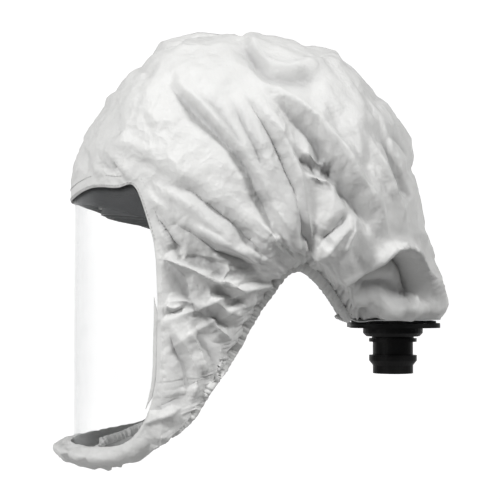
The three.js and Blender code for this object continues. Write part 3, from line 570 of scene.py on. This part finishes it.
def fold_height(points, normals, path, half_width, sharpness):
    """A fold's height share at each point: 1 on its line, gone within about two half widths."""
    line = curve_through(path)
    middle = line.mean(axis=0)
    reach = np.linalg.norm(line - middle, axis=1).max() + 4 * half_width
    chosen = np.flatnonzero(np.linalg.norm(points - middle, axis=1) < reach)
    p, n = points[chosen], normals[chosen]
    best = np.full(len(chosen), 1e9)
    along = np.zeros(len(chosen))
    for k in range(len(line) - 1):
        a, d = line[k], line[k + 1] - line[k]
        u = np.clip((p - a) @ d / (d @ d), 0, 1)
        off = p - a - u[:, None] * d
        off -= 0.8 * n * np.sum(n * off, axis=1)[:, None]
        distance = np.linalg.norm(off, axis=1)
        closer = distance < best
        best[closer] = distance[closer]
        along[closer] = (k + u[closer]) / (len(line) - 1)
    ends = 0.3 + 0.7 * smoothstep(along / 0.25) * smoothstep((1 - along) / 0.2)
    share = np.zeros(len(points))
    share[chosen] = ends * np.exp(-(best / half_width) ** sharpness)
    return share


def crispness(depth):
    """Valleys are pinched to a line, ridges are a little rounder."""
    return 1.0 if depth < 0 else 1.2


def sculpted(points, normals, t):
    """Points with the drawn folds raised and sunk on both sides and across the crown, and the painted shade
    along the valleys of the side folds.
    """
    wander = np.stack([noise_at(points, 30, seed) for seed in (1, 2, 3)], axis=1) * WARP
    height = np.zeros(len(points))
    crease_shade = np.zeros(len(points))
    for side in (1, -1):
        seen = (points + wander) * (side, 1, 1) - (0 if side > 0 else np.array(OTHER_SIDE))
        facing = normals * (side, 1, 1)
        here = smoothstep((points[:, 0] * side - 12) / 25)
        for depth, half_width, path in FOLDS:
            share = fold_height(seen, facing, path, half_width * WIDER, crispness(depth)) * here
            height += DEEPER * depth * share
            # Painted shade: each valley darkens the cloth's colour along its line.
            crease_shade = np.maximum(crease_shade, share * (depth < 0))
    for depth, half_width, path in CROWN_FOLDS:
        share = fold_height(points + wander, normals, path, half_width * WIDER, crispness(depth))
        height += CROWN_DEEPER * depth * share
    loose = smoothstep(t / 0.05) * (1 - 0.6 * smoothstep((t - 0.96) / 0.04))
    return points + normals * (height * loose)[:, None], crease_shade * loose


def pinned(s, t):
    """How firmly each point is held: the sewn edges fully, the rest less, so that it can wrinkle."""
    weight = 0.08 + 0.3 * smoothstep((s - 4.6) / 1) + 0.3 * smoothstep((s - 8) / 1.5)
    weight += 0.12 * (1 - smoothstep((s - 1.5) / 1.5))
    weight = np.maximum(weight, 1 - smoothstep(t / 0.03))
    return np.clip(np.maximum(weight, smoothstep((t - 0.96) / 0.03)), 0, 1)


def even_cells(mesh):
    """Merges crowded grid points and turns what is left into triangles."""
    b = bmesh.new()
    b.from_mesh(mesh)
    bmesh.ops.remove_doubles(b, verts=b.verts, dist=MERGE * MM)
    bmesh.ops.triangulate(b, faces=b.faces)
    b.to_mesh(mesh)
    b.free()


def simulated(points, faces, s, t):
    """How each point moves as the cloth, cut a little large, wrinkles under its weight, without its sag."""
    o = mesh_object("cloth_being_settled", points, faces, CLOTH)
    store(o.data, "held", pinned(s, t))
    even_cells(o.data)
    held = np.empty(len(o.data.vertices), np.float32)
    o.data.attributes["held"].data.foreach_get("value", held)
    group = o.vertex_groups.new(name="held")
    for i, weight in enumerate(held):
        group.add([i], float(weight), "REPLACE")
    before = points_of(o.data)
    cloth = o.modifiers.new("cloth", "CLOTH")
    settings = cloth.settings
    settings.quality = 5
    settings.mass = 0.15
    settings.tension_stiffness = settings.compression_stiffness = 18
    settings.shear_stiffness = 6
    settings.bending_stiffness = 0.8
    settings.air_damping = 3
    settings.vertex_group_mass = "held"
    settings.pin_stiffness = 1
    settings.shrink_min = -GROWTH
    settings.effector_weights.gravity = 0.12
    cloth.point_cache.frame_start, cloth.point_cache.frame_end = 1, SIM_FRAMES
    for frame_number in range(1, SIM_FRAMES + 1):
        bpy.context.scene.frame_set(frame_number)
    apply_modifiers(o)
    moved = points_of(o.data) - before
    bpy.context.scene.frame_set(1)
    bpy.data.objects.remove(o)
    wrinkles = moved - spread(before, moved, before, 60, evenly_weighted=True)
    return spread(before, wrinkles, points, 9)


def spread(places, values, points, neighbours, evenly_weighted=False):
    """Values known at some places, blended onto points. Nearer places count for more unless told not to."""
    tree = KDTree(len(places))
    for i, p in enumerate(places):
        tree.insert(p, i)
    tree.balance()
    out = np.empty((len(points), 3))
    for i, p in enumerate(points):
        found = tree.find_n(p, neighbours)
        weight = np.array([1 / (0.6 + distance) ** 2 for _, _, distance in found])
        if evenly_weighted:
            weight[:] = 1
        out[i] = weight @ values[[index for _, index, _ in found]] / weight.sum()
    return out


def capped(moves, most):
    """Moves cut short at the given length."""
    length = np.linalg.norm(moves, axis=1)
    return moves * np.minimum(1, most / np.maximum(length, 1e-6))[:, None]


EDGE_SAMPLES = np.linspace(0, CHIN, 600)
NECK_EDGE = cover_points(EDGE_SAMPLES, np.ones(600))
NECK_LENGTHS = np.concatenate([[0], np.cumsum(np.linalg.norm(np.diff(NECK_EDGE, axis=0), axis=1))])
GUIDE_LENGTHS = [np.linalg.norm(np.diff(line, axis=0), axis=1).sum() for line in LEFT_LINES]


def gathers(place, x, from_neck, s):
    """Height of the pleats which the neck elastic draws up, by place along the neck edge."""
    around = np.stack([place + 300 * (x < 0), 0 * x, from_neck * 0.22], axis=1)
    drawn = smoothstep((s - 3.2) / 0.8) * (1 - 0.55 * smoothstep((s - 9.5) / 2))
    wide = noise_at(around, 8, 4) * np.exp(-from_neck / 34) * 3.2
    turned_under = 11 * smoothstep((s - 6.1) / 0.8)
    seen = np.maximum(0, from_neck - turned_under)
    narrow = creased(around, 4.2, 5) * np.exp(-seen / 11) * 1.9 * (1 - 0.85 * smoothstep((s - 7.4) / 1))
    return drawn * (wide + narrow)


def radiating(points, s):
    """Height of the long pleats that fan out from the top of the neck arch, forward and up."""
    forward, up = points[:, 1] - ARCH[0], points[:, 2] - ARCH[1]
    radius = np.hypot(forward, up)
    turn = np.arctan2(forward, up) + 0.0022 * radius
    places = np.stack([3.6 * turn, 0.7 * np.log(radius + 12), 4 * np.sign(points[:, 0])], axis=1)
    finer = places * (2.3, 1.3, 1)
    fan = smoothstep((turn + 2.3) / 0.5) * (1 - smoothstep((turn - 0.35) / 0.5))
    reach = smoothstep((radius - 6) / 34) * np.exp(-(radius / 150) ** 2)
    aside = smoothstep((np.abs(points[:, 0]) - 40) / 35) * (1 - smoothstep((s - 7.6) / 1.2))
    return fan * reach * aside * (2.4 * creased(places, 1, 12) + 0.5 * creased(finer, 1, 13))


def toward_neck(s):
    """The way from the neck edge into its opening, square to the edge and to X, and how far it counts."""
    along = np.gradient(NECK_EDGE, axis=0)
    way = np.stack([0 * along[:, 0], -along[:, 2], along[:, 1]], axis=1)
    way /= np.linalg.norm(way, axis=1)[:, None]
    way *= np.sign(np.sum(way * (np.array(NECK_MIDDLE) - NECK_EDGE), axis=1))[:, None]
    share = smoothstep((s - 3.4) / 1.2) * (1 - smoothstep((s - 8.4) / 1.6))
    return np.stack([np.interp(s, EDGE_SAMPLES, way[:, k]) for k in range(3)], axis=1), share


def drawn_up(points, s, t):
    """The cover's last stretch pulled back by the neck elastic, so that the hem shows below it."""
    way, share = toward_neck(s)
    right = (points[:, 0] < 0) * smoothstep((s - 3.5) / 0.7) * (1 - smoothstep((s - 5.6) / 1))
    most = DRAWN_UP * (1 - 0.7 * smoothstep((s - 6) / 0.8)) + DRAWN_UP_RIGHT * right
    pull = most * share * smoothstep((t - 0.72) / 0.28)
    return points - way * pull[:, None]


def rolled_at_inlet(points, s, t):
    """The cloth's last stretch at the back hangs in a soft roll over the rim of the inlet."""
    way = points - (0, INLET_Y, 0)
    way[:, 2] = 0
    way /= np.maximum(np.linalg.norm(way, axis=1), 1e-6)[:, None]
    roll = np.sin(math.pi * np.clip((t - ROLL_FROM) / (1 - ROLL_FROM), 0, 1)) ** 1.3
    share = roll * (1 - smoothstep((s - 2.6) / 1)) * smoothstep((points[:, 1] - 96) / 22)
    return points + (way * 2.5 - (0, 0, 6.5)) * share[:, None]


def fine_height(points, s, t):
    """Height of the pleats at the neck and of the crumpled surface all over, and the painted shade in the
    pleats' valleys.
    """
    from_neck = (1 - t) * np.interp(s, np.arange(CHIN + 1), GUIDE_LENGTHS)
    place = np.interp(s, EDGE_SAMPLES, NECK_LENGTHS)
    chin = smoothstep((s - 8.5) / 1.5)
    hung = drawn_out(points)
    broad = noise_at(points, 48, 6) * 1.4 * (1 - chin)
    long_ones = creased(hung, 12, 7) * 0.5
    crushed = creased(points, 20, 8) * 0.24
    crumpled_at = np.exp(-np.sum((np.abs(points - (0, 64, 30)) / (400, 16, 18)) ** 2, axis=1))
    crumpled_at += np.exp(-np.sum((np.abs(points - (0, 104, 48)) / (400, 12, 16)) ** 2, axis=1))
    crumpled_at += chin
    crumple = creased(points, 11, 10) * 0.9 * crumpled_at
    calm = 1 - 0.5 * smoothstep((s - 5.2) / 1.2)
    loose = smoothstep(t / 0.05) * (1 - 0.5 * smoothstep((t - 0.97) / 0.03))
    edge_wave = (1 - smoothstep(t / 0.05)) * noise_at(points, 18, 11) * 0.5
    surface = broad + (long_ones + crushed) * calm + crumple + radiating(points, s)
    pleats = gathers(place, points[:, 0], from_neck, s)
    # Painted shade in the pleats' valleys, strongest at the neck edge.
    pleat_shade = np.clip(-pleats / 1.5, 0, 1) * np.exp(-from_neck / 18)
    return loose * surface + pleats + edge_wave, pleat_shade


def brow_lift(points, s, t):
    """The hem over the face opening is drawn up a little at the wearer's left and sags at the right."""
    near = smoothstep((s - 0.6) / 1.2) * (1 - smoothstep((s - 3.1) / 0.9)) * (1 - smoothstep(t / 0.16))
    lift = np.where(points[:, 0] > 0, BROW_LIFT, -0.3 * BROW_LIFT)
    corner = BROW_CORNER * np.exp(-((s - 2.95) / 0.42) ** 2) * (1 - smoothstep(t / 0.2)) * (points[:, 0] > 0)
    return points + np.stack([0 * s, 0 * s, near * lift + corner], axis=1)


def grid_normals(points, faces):
    """Outward normals of a mesh's points."""
    a, b, c, d = [points[faces[:, k]] for k in range(4)]
    across = np.cross(c - a, d - b)
    total = np.zeros_like(points)
    for k in range(4):
        np.add.at(total, faces[:, k], across)
    total /= np.maximum(np.linalg.norm(total, axis=1), 1e-9)[:, None]
    outward = np.sum(total * (points - (0, 10, 0)), axis=1)
    return total * (1 if np.median(outward) > 0 else -1)


def kept_off_duct(points, smooth, normals, s, t):
    """Valleys over the crown made shallow enough to stay above the air duct."""
    depth = np.sum((points - smooth) * normals, axis=1)
    over_duct = (1 - smoothstep((s - 1.1) / 0.5)) * smoothstep(t / 0.06) * (1 - smoothstep((t - 0.92) / 0.05))
    lift = np.maximum(0, -DEEPEST_OVER_DUCT - depth) * over_duct
    return points + normals * lift[:, None]


def cloth_cover():
    points, faces, s, t = cover_grid(ROWS)
    smooth, smooth_normals = points, grid_normals(points, faces)
    points = drawn_up(brow_lift(points, s, t), s, t)
    points = rolled_at_inlet(points, s, t)
    normals = grid_normals(points, faces)
    points, crease_shade = sculpted(points, normals, t)
    share = 1 - 0.5 * smoothstep((s - 4.8) / 1)
    points = points + capped(simulated(points, faces, s, t), MOST_MOVED) * share[:, None]
    normals = grid_normals(points, faces)
    height, pleat_shade = fine_height(points, s, t)
    points = points + normals * height[:, None]
    crease_shade = np.maximum(crease_shade, pleat_shade)
    points = kept_off_duct(points, smooth, smooth_normals, s, t)
    points = outside_visor(points, COVER_THICKNESS / 2)
    cover = mesh_object("cloth_cover", points, faces, CLOTH)
    # The painted shade of fold and pleat valleys, which darkens the cloth's colour.
    store(cover.data, "crease_shade", crease_shade)
    thicken(cover, COVER_THICKNESS)
    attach(cover, "root")
    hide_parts("crown_panel", "side_panel_left", "side_panel_right", "chin_panel")


def thicken(o, thickness):
    modifier = o.modifiers.new("thick", "SOLIDIFY")
    modifier.thickness = thickness * MM
    modifier.offset = 0
    apply_modifiers(o)


# ---------------------------------------------------------------- ring and strip builders
def grid_faces(rows, columns, close_rows=False, close_columns=False):
    """Quads of a grid of points, stored row by row."""
    i = np.arange(rows if close_rows else rows - 1)
    j = np.arange(columns if close_columns else columns - 1)
    i, j = [v.ravel() for v in np.meshgrid(i, j, indexing="ij")]
    n, m = (i + 1) % rows, (j + 1) % columns
    return np.stack([i * columns + j, n * columns + j, n * columns + m, i * columns + m], axis=1)


def grid_object(name, points, material, close_rows=False, close_columns=False):
    """A mesh from a rows x columns x 3 array of points."""
    rows, columns = points.shape[:2]
    faces = grid_faces(rows, columns, close_rows, close_columns)
    return mesh_object(name, points.reshape(-1, 3), faces, material)


def join_meshes(name, parts, material):
    """One object from several [points, faces] pairs."""
    points, faces, start = [], [], 0
    for p, f in parts:
        points.append(np.asarray(p).reshape(-1, 3))
        faces += [tuple(int(v) + start for v in face) for face in f]
        start += len(points[-1])
    return mesh_object(name, np.vstack(points), faces, material)


def capsule(start, end, radius, sides=6):
    """A stitch: a short rounded tube between two points, as [points, faces]."""
    axis = end - start
    length = np.linalg.norm(axis)
    axis = axis / length
    side = np.cross(axis, (0.3, 0.5, 0.8))
    side /= np.linalg.norm(side)
    up = np.cross(axis, side)
    angles = np.arange(sides) * 2 * math.pi / sides
    ring = np.outer(np.cos(angles), side) + np.outer(np.sin(angles), up)
    stations = [(0.0, 0.35), (0.18, 0.9), (0.5, 1.0), (0.82, 0.9), (1.0, 0.35)]
    points = np.vstack([start + axis * length * u + ring * radius * r for u, r in stations])
    faces = [tuple(f) for f in grid_faces(len(stations), sides, close_columns=True)]
    last = (len(stations) - 1) * sides
    return points, faces + [tuple(range(sides))[::-1], tuple(range(last, last + sides))]


def stitched_along(line, normals, pitch, radius):
    """Stitches lying on a line of points, a gap of a third between them."""
    along = np.concatenate([[0], np.cumsum(np.linalg.norm(np.diff(line, axis=0), axis=1))])
    parts = []
    for k in range(int(along[-1] / pitch)):
        ends = []
        for place in ((k + 0.17) * pitch, (k + 0.83) * pitch):
            p = np.array([np.interp(place, along, line[:, i]) for i in range(3)])
            n = np.array([np.interp(place, along, normals[:, i]) for i in range(3)])
            ends.append(p + n * radius * 0.6)
        parts.append(capsule(ends[0], ends[1], radius))
    return parts


# ---------------------------------------------------------------- the neck hem and its elastic
HEM_START = 4  # guide at which the hem leaves the neck edge and passes in front of the inlet
HEM_OFFSET = 5.2
HEM_FRONT = (0, 78, -71)
HEM_STEPS = 1500


def neck_frames():
    """Places round the neck hem, with the way out of the cover and the cover's normal at each."""
    s = np.linspace(HEM_START, AROUND - HEM_START, 240)
    edge, inside = cover_points(s, np.ones(240)), cover_points(s, np.full(240, 0.9))
    out = edge - inside
    out /= np.linalg.norm(out, axis=1)[:, None]
    left = np.minimum(s, AROUND - s)
    way, share = toward_neck(left)
    out = out * (1 - 0.85 * share)[:, None] + way * (1.2 * share)[:, None]
    out /= np.linalg.norm(out, axis=1)[:, None]
    ring = drawn_up(edge, left, np.ones(240)) + out * (HEM_OFFSET - 2 * share)[:, None]
    at = np.vstack([ring, [HEM_FRONT]])
    outs = np.vstack([out, [(0, -1, 0)]])
    from_inlet = np.append(left, 0)
    closed = np.vstack([at[-1:], at, at[:1]])
    tangent = closed[2:] - closed[:-2]
    normal = np.cross(tangent, outs)
    normal /= np.linalg.norm(normal, axis=1)[:, None]
    away = np.sum(normal * (at - (0, 10, -20)), axis=1)
    normal *= np.where(away < 0, -1, 1)[:, None]
    rows = np.hstack([at, outs, normal, from_inlet[:, None]])
    rows = np.vstack([rows, rows[:1]])
    along = np.concatenate([[0], np.cumsum(np.linalg.norm(np.diff(rows[:, :3], axis=0), axis=1))])
    places = np.linspace(0, along[-1], HEM_STEPS, endpoint=False)
    even = np.stack([np.interp(places, along, rows[:, k]) for k in range(rows.shape[1])], axis=1)
    for cut in (slice(3, 6), slice(6, 9)):
        even[:, cut] /= np.linalg.norm(even[:, cut], axis=1)[:, None]
    return places, even[:, :3], even[:, 3:6], even[:, 6:9], even[:, 9]


def neck_hem():
    """The cloth turned over the neck elastic and drawn up on it, so that it stands in small pleats."""
    places, at, out, normal, s = neck_frames()
    place = np.interp(s, EDGE_SAMPLES, NECK_LENGTHS)
    lift = gathers(place, at[:, 0], 0 * place, s) * 0.5
    flat = np.stack([places, 0 * places, 0 * places], axis=1)
    ruffle = noise_at(flat, 1.5, 21) * 1.1 + noise_at(flat, 3.4, 22) * 0.9
    frill = noise_at(flat, 2.2, 23) * 0.8
    drawn = 0.35 + 0.65 * smoothstep((s - 3.5) / 1)
    angles = np.linspace(-math.pi + 0.06, math.pi - 0.06, 22)
    rings = []
    for angle in angles:
        across = 3.4 * math.cos(angle) - 1.0
        thick = 1.5 * math.sin(angle) * (0.55 + 0.45 * smoothstep((across + 4.6) / 4))
        share = smoothstep((across + 4.6) / 3)
        rise = thick + drawn * ruffle * (0.5 + 0.5 * share) + lift * 0.7
        reach = across + drawn * frill * share
        rings.append(at + out * reach[:, None] + normal * rise[:, None])
    hem = grid_object("neck_casing", np.array(rings).transpose(1, 0, 2), CLOTH, close_rows=True)
    thicken(hem, 0.35)
    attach(hem, "root")
    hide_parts("neck_hem")

    row = at - out * 4.6 + normal * (1.3 + 0.7 * lift + 0.45 * ruffle * drawn)[:, None]
    thread = join_meshes("neck_stitching", stitched_along(row, normal, 2.6, 0.32), THREAD)
    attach(thread, "root")

    turns = np.linspace(0, 2 * math.pi, 10, endpoint=False)
    strand = 1 + 0.12 * np.sin(places[:, None] * 2.4 + 3 * turns[None, :])
    core = at[:, None] + 0.85 * strand[..., None] * (
        np.cos(turns)[None, :, None] * out[:, None] + np.sin(turns)[None, :, None] * normal[:, None])
    core += (lift * 0.7)[:, None, None] * normal[:, None]
    elastic = grid_object("elastic_cord", core, ELASTIC, True, True)
    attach(elastic, "root")
    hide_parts("neck_elastic")


# ---------------------------------------------------------------- the visor and what lies along it
VISOR_OUTLINE = [
    (0, 23.5), (40, 23.5), (54, 22), (60, 12), (65, -2), (69, -18), (70.5, -36), (70.5, -108), (69, -126),
    (65, -140), (59, -153), (50, -163), (38, -168.5), (22, -171), (0, -171),
]  # angle from the front in degrees, and height
VISOR_WIDEST = 70


def on_cylinder(radius, angle, z):
    """Points on a cylinder about the visor's axis, at angles in degrees from the front."""
    turn = np.radians(angle)
    return np.stack(np.broadcast_arrays(
        radius * np.sin(turn), VISOR_Y - radius * np.cos(turn), z), axis=-1)


def visor_sheet():
    line = rounded_line([(a, z, 0) for a, z in VISOR_OUTLINE])
    upper, lower = line[line[:, 1] > -70], line[line[:, 1] <= -70]
    angles = VISOR_WIDEST * np.sin(np.linspace(-math.pi / 2, math.pi / 2, 161))
    order = np.argsort(upper[:, 0])
    top = np.interp(np.abs(angles), upper[order, 0], upper[order, 1])
    order = np.argsort(lower[:, 0])
    bottom = np.interp(np.abs(angles), lower[order, 0], lower[order, 1])
    share = np.linspace(0, 1, 25)
    heights = top[:, None] * (1 - share) + bottom[:, None] * share
    points = on_cylinder(VISOR_RADIUS - 0.5, angles[:, None], heights)
    visor = grid_object("visor_sheet", points, VISOR)
    thicken(visor, 0.9)
    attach(visor, "root")
    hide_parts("visor")


BINDING = {"from": 5.2, "to": 7.6, "width": 2.8, "inset": 4.3, "radius": 113.1}


def visor_bindings():
    """Tape stuck over the seam where each side of the cover meets the visor."""
    for name, side in (("left", 1), ("right", -1)):
        s = np.linspace(BINDING["from"], BINDING["to"], 90)
        edge = cover_points(s, np.full(90, 0.01))
        angle = np.degrees(np.arctan2(edge[:, 0], VISOR_Y - edge[:, 1]))
        ends = smoothstep((s - BINDING["from"]) / 0.35) * smoothstep((BINDING["to"] - s) / 0.35)
        width = math.degrees(BINDING["width"] / BINDING["radius"]) * (0.15 + 0.85 * ends)[:, None]
        start = angle - math.degrees(BINDING["inset"] / BINDING["radius"])
        share = np.linspace(0, 1, 7)
        crown = 0.12 * np.sin(share * math.pi)
        ripple = noise_at(edge, 5, 31) * 0.12
        points = on_cylinder(BINDING["radius"] + crown[None, :] + ripple[:, None],
                             start[:, None] + share * width, edge[:, 2:3])
        tape = grid_object(f"visor_binding_{name}", points * (side, 1, 1), CLOTH)
        thicken(tape, 0.35)
        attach(tape, "root")
        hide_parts(f"visor_tape_{name}")


# ---------------------------------------------------------------- foam pads
def soft_pad(name, surface, node, columns=110, rows=22):
    """A foam pad: surface(u, v, w) gives the place at width u, height v and depth w, all from -1 to 1."""
    ring = np.linspace(0, 2 * math.pi, 2 * rows, endpoint=False)
    u = np.sin(np.linspace(-math.pi / 2, math.pi / 2, columns))
    v = np.sign(np.cos(ring)) * np.abs(np.cos(ring)) ** 0.35
    w = np.sign(np.sin(ring)) * np.abs(np.sin(ring)) ** 0.5
    end = (1 - np.abs(u) ** 24) ** 0.5
    place = surface(u[:, None], (v[None, :] * (0.93 + 0.07 * end[:, None])), w[None, :] * end[:, None])
    flat = place.reshape(-1, 3)
    lumps = noise_at(flat, 16, 41) * 0.35 + noise_at(flat, 5, 42) * 0.12
    outward = place - surface(u[:, None], v[None, :] * 0.9, 0 * w[None, :] * end[:, None])
    outward = outward.reshape(-1, 3)
    outward /= np.maximum(np.linalg.norm(outward, axis=1), 1e-6)[:, None]
    place = (flat + outward * lumps[:, None]).reshape(place.shape)
    parts = [(place, grid_faces(columns, 2 * rows, close_columns=True))]
    pad = join_meshes(name, parts, FOAM)
    b = bmesh.new()
    b.from_mesh(pad.data)
    bmesh.ops.holes_fill(b, edges=[e for e in b.edges if e.is_boundary], sides=0)
    bmesh.ops.recalc_face_normals(b, faces=b.faces)
    b.to_mesh(pad.data)
    b.free()
    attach(pad, "root")
    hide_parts(node)


PAD = {"thickness": 6, "low": 12, "droop": 16, "high": 30, "reach": 61}
BAND = {"side": 80, "front": 107, "centre_y": 10, "tilt": -8}


def brow_foam():
    centre = VISOR_RADIUS - 1 - 0.4 - PAD["thickness"] / 2

    def surface(u, v, w):
        angle = u * PAD["reach"]
        low = PAD["low"] - PAD["droop"] * u ** 2 + 0.3
        high = PAD["high"] - 0.3
        z = (low + high) / 2 + v * (high - low) / 2
        return on_cylinder(centre + w * (PAD["thickness"] / 2 - 0.5), angle, z)

    soft_pad("brow_foam", surface, "brow_pad")


def tilted(points):
    """From the headband's own frame, which leans down at the nape, to the object's."""
    turn = math.radians(BAND["tilt"])
    cos, sin = math.cos(turn), math.sin(turn)
    x, y, z = np.moveaxis(points, -1, 0)
    return np.stack([x, y * cos - z * sin, y * sin + z * cos], axis=-1)


def forehead_foam():
    reach, half_height, depth = 57.5, 10.6, 6

    def surface(u, v, w):
        turn = np.radians(-90 + u * reach)
        offset = -0.4 - depth / 2 + w * (depth / 2 - 0.4)
        x = (BAND["side"] + offset) * np.cos(turn)
        y = BAND["centre_y"] + (BAND["front"] + offset) * np.sin(turn)
        return tilted(np.stack(np.broadcast_arrays(x, y, v * half_height), axis=-1))

    soft_pad("forehead_foam", surface, "forehead_pad")


# ---------------------------------------------------------------- cloth at the inlet and the air duct
INLET_HOLE = 18.5


def nape_cloth():
    """Cloth clamped round the inlet, between the cover's neck edge and the neck hem."""
    s = np.linspace(-HEM_START, HEM_START, 81)
    rear = cover_points(s % AROUND, np.ones(81))
    crossing = np.array([rear[-1], HEM_FRONT, rear[0]], float)
    crossing[1] += (0, 1.5, -0.6)
    front = rounded_line(crossing, 20, 30)[1:-1]
    outer = np.vstack([rear, front])
    turn = np.arctan2(outer[:, 1] - INLET_Y, outer[:, 0])
    across, back = INLET_HOLE * np.cos(turn), INLET_Y + INLET_HOLE * np.sin(turn)
    inner = np.stack([across, back, 0 * turn + INLET_LEVEL], axis=1)
    share = np.linspace(0, 1, 22)[None, :, None]
    points = inner[:, None] * (1 - share) + outer[:, None] * share
    clamped = smoothstep((share[..., 0] - 0.55) / 0.4)
    level = INLET_LEVEL * (1 - clamped) + points[..., 2] * clamped
    flat = points.reshape(-1, 3)
    ripples = (noise_at(flat, 9, 51) * 0.5).reshape(level.shape)
    points[..., 2] = level + clamped * (1 - clamped) * 4 * ripples
    nape = grid_object("nape_cloth", points, LINING, close_rows=True)
    thicken(nape, 0.5)
    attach(nape, "root")
    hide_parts("nape_panel")


DUCT = {"depth": 15, "reach": 0.8, "from": 0.12, "to": 0.9, "clear": 3.6}


def air_duct():
    """The cloth duct under the crown, a little slack, with a puckered seam along each side."""
    u = np.linspace(-1, 1, 49)
    t = np.linspace(DUCT["from"], DUCT["to"], 200)
    s = u * DUCT["reach"]

    def at(ds=0.0, dt=0.0):
        return cover_points((s[:, None] + ds) % AROUND, t[None, :] + dt)

    surface = at()
    step = 1e-3
    du = at(ds=step) - at(ds=-step)
    dt = at(dt=step) - at(dt=-step)
    normal = np.cross(du, dt)
    normal /= np.linalg.norm(normal, axis=-1)[..., None]
    inward = np.sum(normal * (surface - (0, 20, 30)), axis=-1) > 0
    normal *= np.where(inward, -1, 1)[..., None]
    hang = DUCT["depth"] * (1 - np.abs(u) ** 4)[:, None]
    flat = surface.reshape(-1, 3)
    slack = (noise_at(flat, 22, 61) * 1.2 + creased(flat, 10, 62) * 0.4).reshape(hang.shape[0], -1)
    pucker = np.abs(u[:, None]) ** 6 * (noise_at(flat, 3, 63) * 0.6).reshape(slack.shape)
    points = surface + normal * (DUCT["clear"] + hang + slack * (1 - u[:, None] ** 2) + pucker)[..., None]
    duct = grid_object("air_duct", points, LINING)
    thicken(duct, 0.4)
    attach(duct, "root")
    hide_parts("air_channel")


# ---------------------------------------------------------------- the sewn hem over the face opening
BROW_ROWS = (1.6, 8.5)  # how far each row of stitches is from the edge


def brow_stitching():
    """Two rows of stitches along the turned hem over the face opening."""
    parts = []
    for row in BROW_ROWS:
        s = np.linspace(-4.2, 4.2, 500)
        near = np.abs(s)
        lengths = np.interp(near, np.arange(CHIN + 1), GUIDE_LENGTHS)
        t = row / lengths
        points = brow_lift(cover_points(s % AROUND, t), near, t)
        beyond = brow_lift(cover_points(s % AROUND, t + 0.004), near, t + 0.004)
        tangent = np.gradient(points, axis=0)
        normal = np.cross(tangent, beyond - points)
        normal /= np.linalg.norm(normal, axis=1)[:, None]
        normal *= np.where(np.sum(normal * (points - (0, 10, 0)), axis=1) < 0, -1, 1)[:, None]
        points = outside_visor(points, COVER_THICKNESS / 2) + normal * (COVER_THICKNESS / 2 + 0.1)
        parts += stitched_along(points, normal, 2.8, 0.28)
    thread = join_meshes("brow_stitching", parts, THREAD)
    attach(thread, "root")


cloth_cover()
neck_hem()
visor_sheet()
visor_bindings()
brow_foam()
forehead_foam()
nape_cloth()
air_duct()
brow_stitching()

# ---------------------------------------------------------------- floor, backdrop and light
FLOOR_Z = -650
GLOW = 0.75


def stage():
    """Pale paper, plain under the object and glowing white well behind it."""
    n = Nodes("studio_paper")
    behind = n.add("ShaderNodeSeparateXYZ", Vector=n.stretched(-1, 1, 1))
    far = n.ramp(behind.outputs["X"], 0, 1, (0.9, 1.3))
    n.shader.inputs["Roughness"].default_value = 0.9
    n.bump((n.noise(400, 2), 0.05))
    n.shader.inputs["Emission Color"].default_value = (1, 1, 1, 1)
    n.put(n.shader.inputs["Emission Strength"], n.math("MULTIPLY", far, GLOW))
    grey = n.mix(n.ramp(n.noise(1.5, 2), 0, 1), (0.55, 0.55, 0.55), (0.5, 0.5, 0.5))
    n.set(Base_Color=n.mix(far, grey, (0.9, 0.9, 0.9)))
    size, bend, rise = 6000, 1500, 4000
    profile = [(size, FLOOR_Z), (-size + bend, FLOOR_Z)]
    for i in range(1, 13):
        angle = math.radians(90 * i / 12)
        profile.append((-size + bend - bend * math.sin(angle), FLOOR_Z + bend * (1 - math.cos(angle))))
    profile.append((-size, FLOOR_Z + rise))
    points = [(x, y, z) for x, z in profile for y in (-size, size)]
    faces = [(2 * i, 2 * i + 1, 2 * i + 3, 2 * i + 2) for i in range(len(profile) - 1)]
    floor = mesh_object("studio_floor", points, faces, n.material)


def area_light(name, place, target, width, power):
    data = bpy.data.lights.new(name, "AREA")
    data.shape = "RECTANGLE"
    data.size, data.size_y = width[0] * MM, width[1] * MM
    data.energy = power
    light = bpy.data.objects.new(name, data)
    light.location = Vector(place) * MM
    light.rotation_euler = (Vector(target) - Vector(place)).to_track_quat("-Z", "Y").to_euler()
    bpy.context.scene.collection.objects.link(light)


stage()
area_light("key", (950, -720, 820), (0, 0, 0), (200, 200), 14.5)
area_light("rear", (850, 1200, 1050), (0, 30, 20), (400, 400), 19)
area_light("low", (800, -1150, -40), (0, -20, -60), (450, 450), 3)
world = bpy.data.worlds.new("studio")
world.use_nodes = True
world.node_tree.nodes["Background"].inputs["Color"].default_value = (1, 1, 1, 1)
world.node_tree.nodes["Background"].inputs["Strength"].default_value = 0.14
bpy.context.scene.world = world
bpy.context.scene.view_settings.view_transform = "Standard"
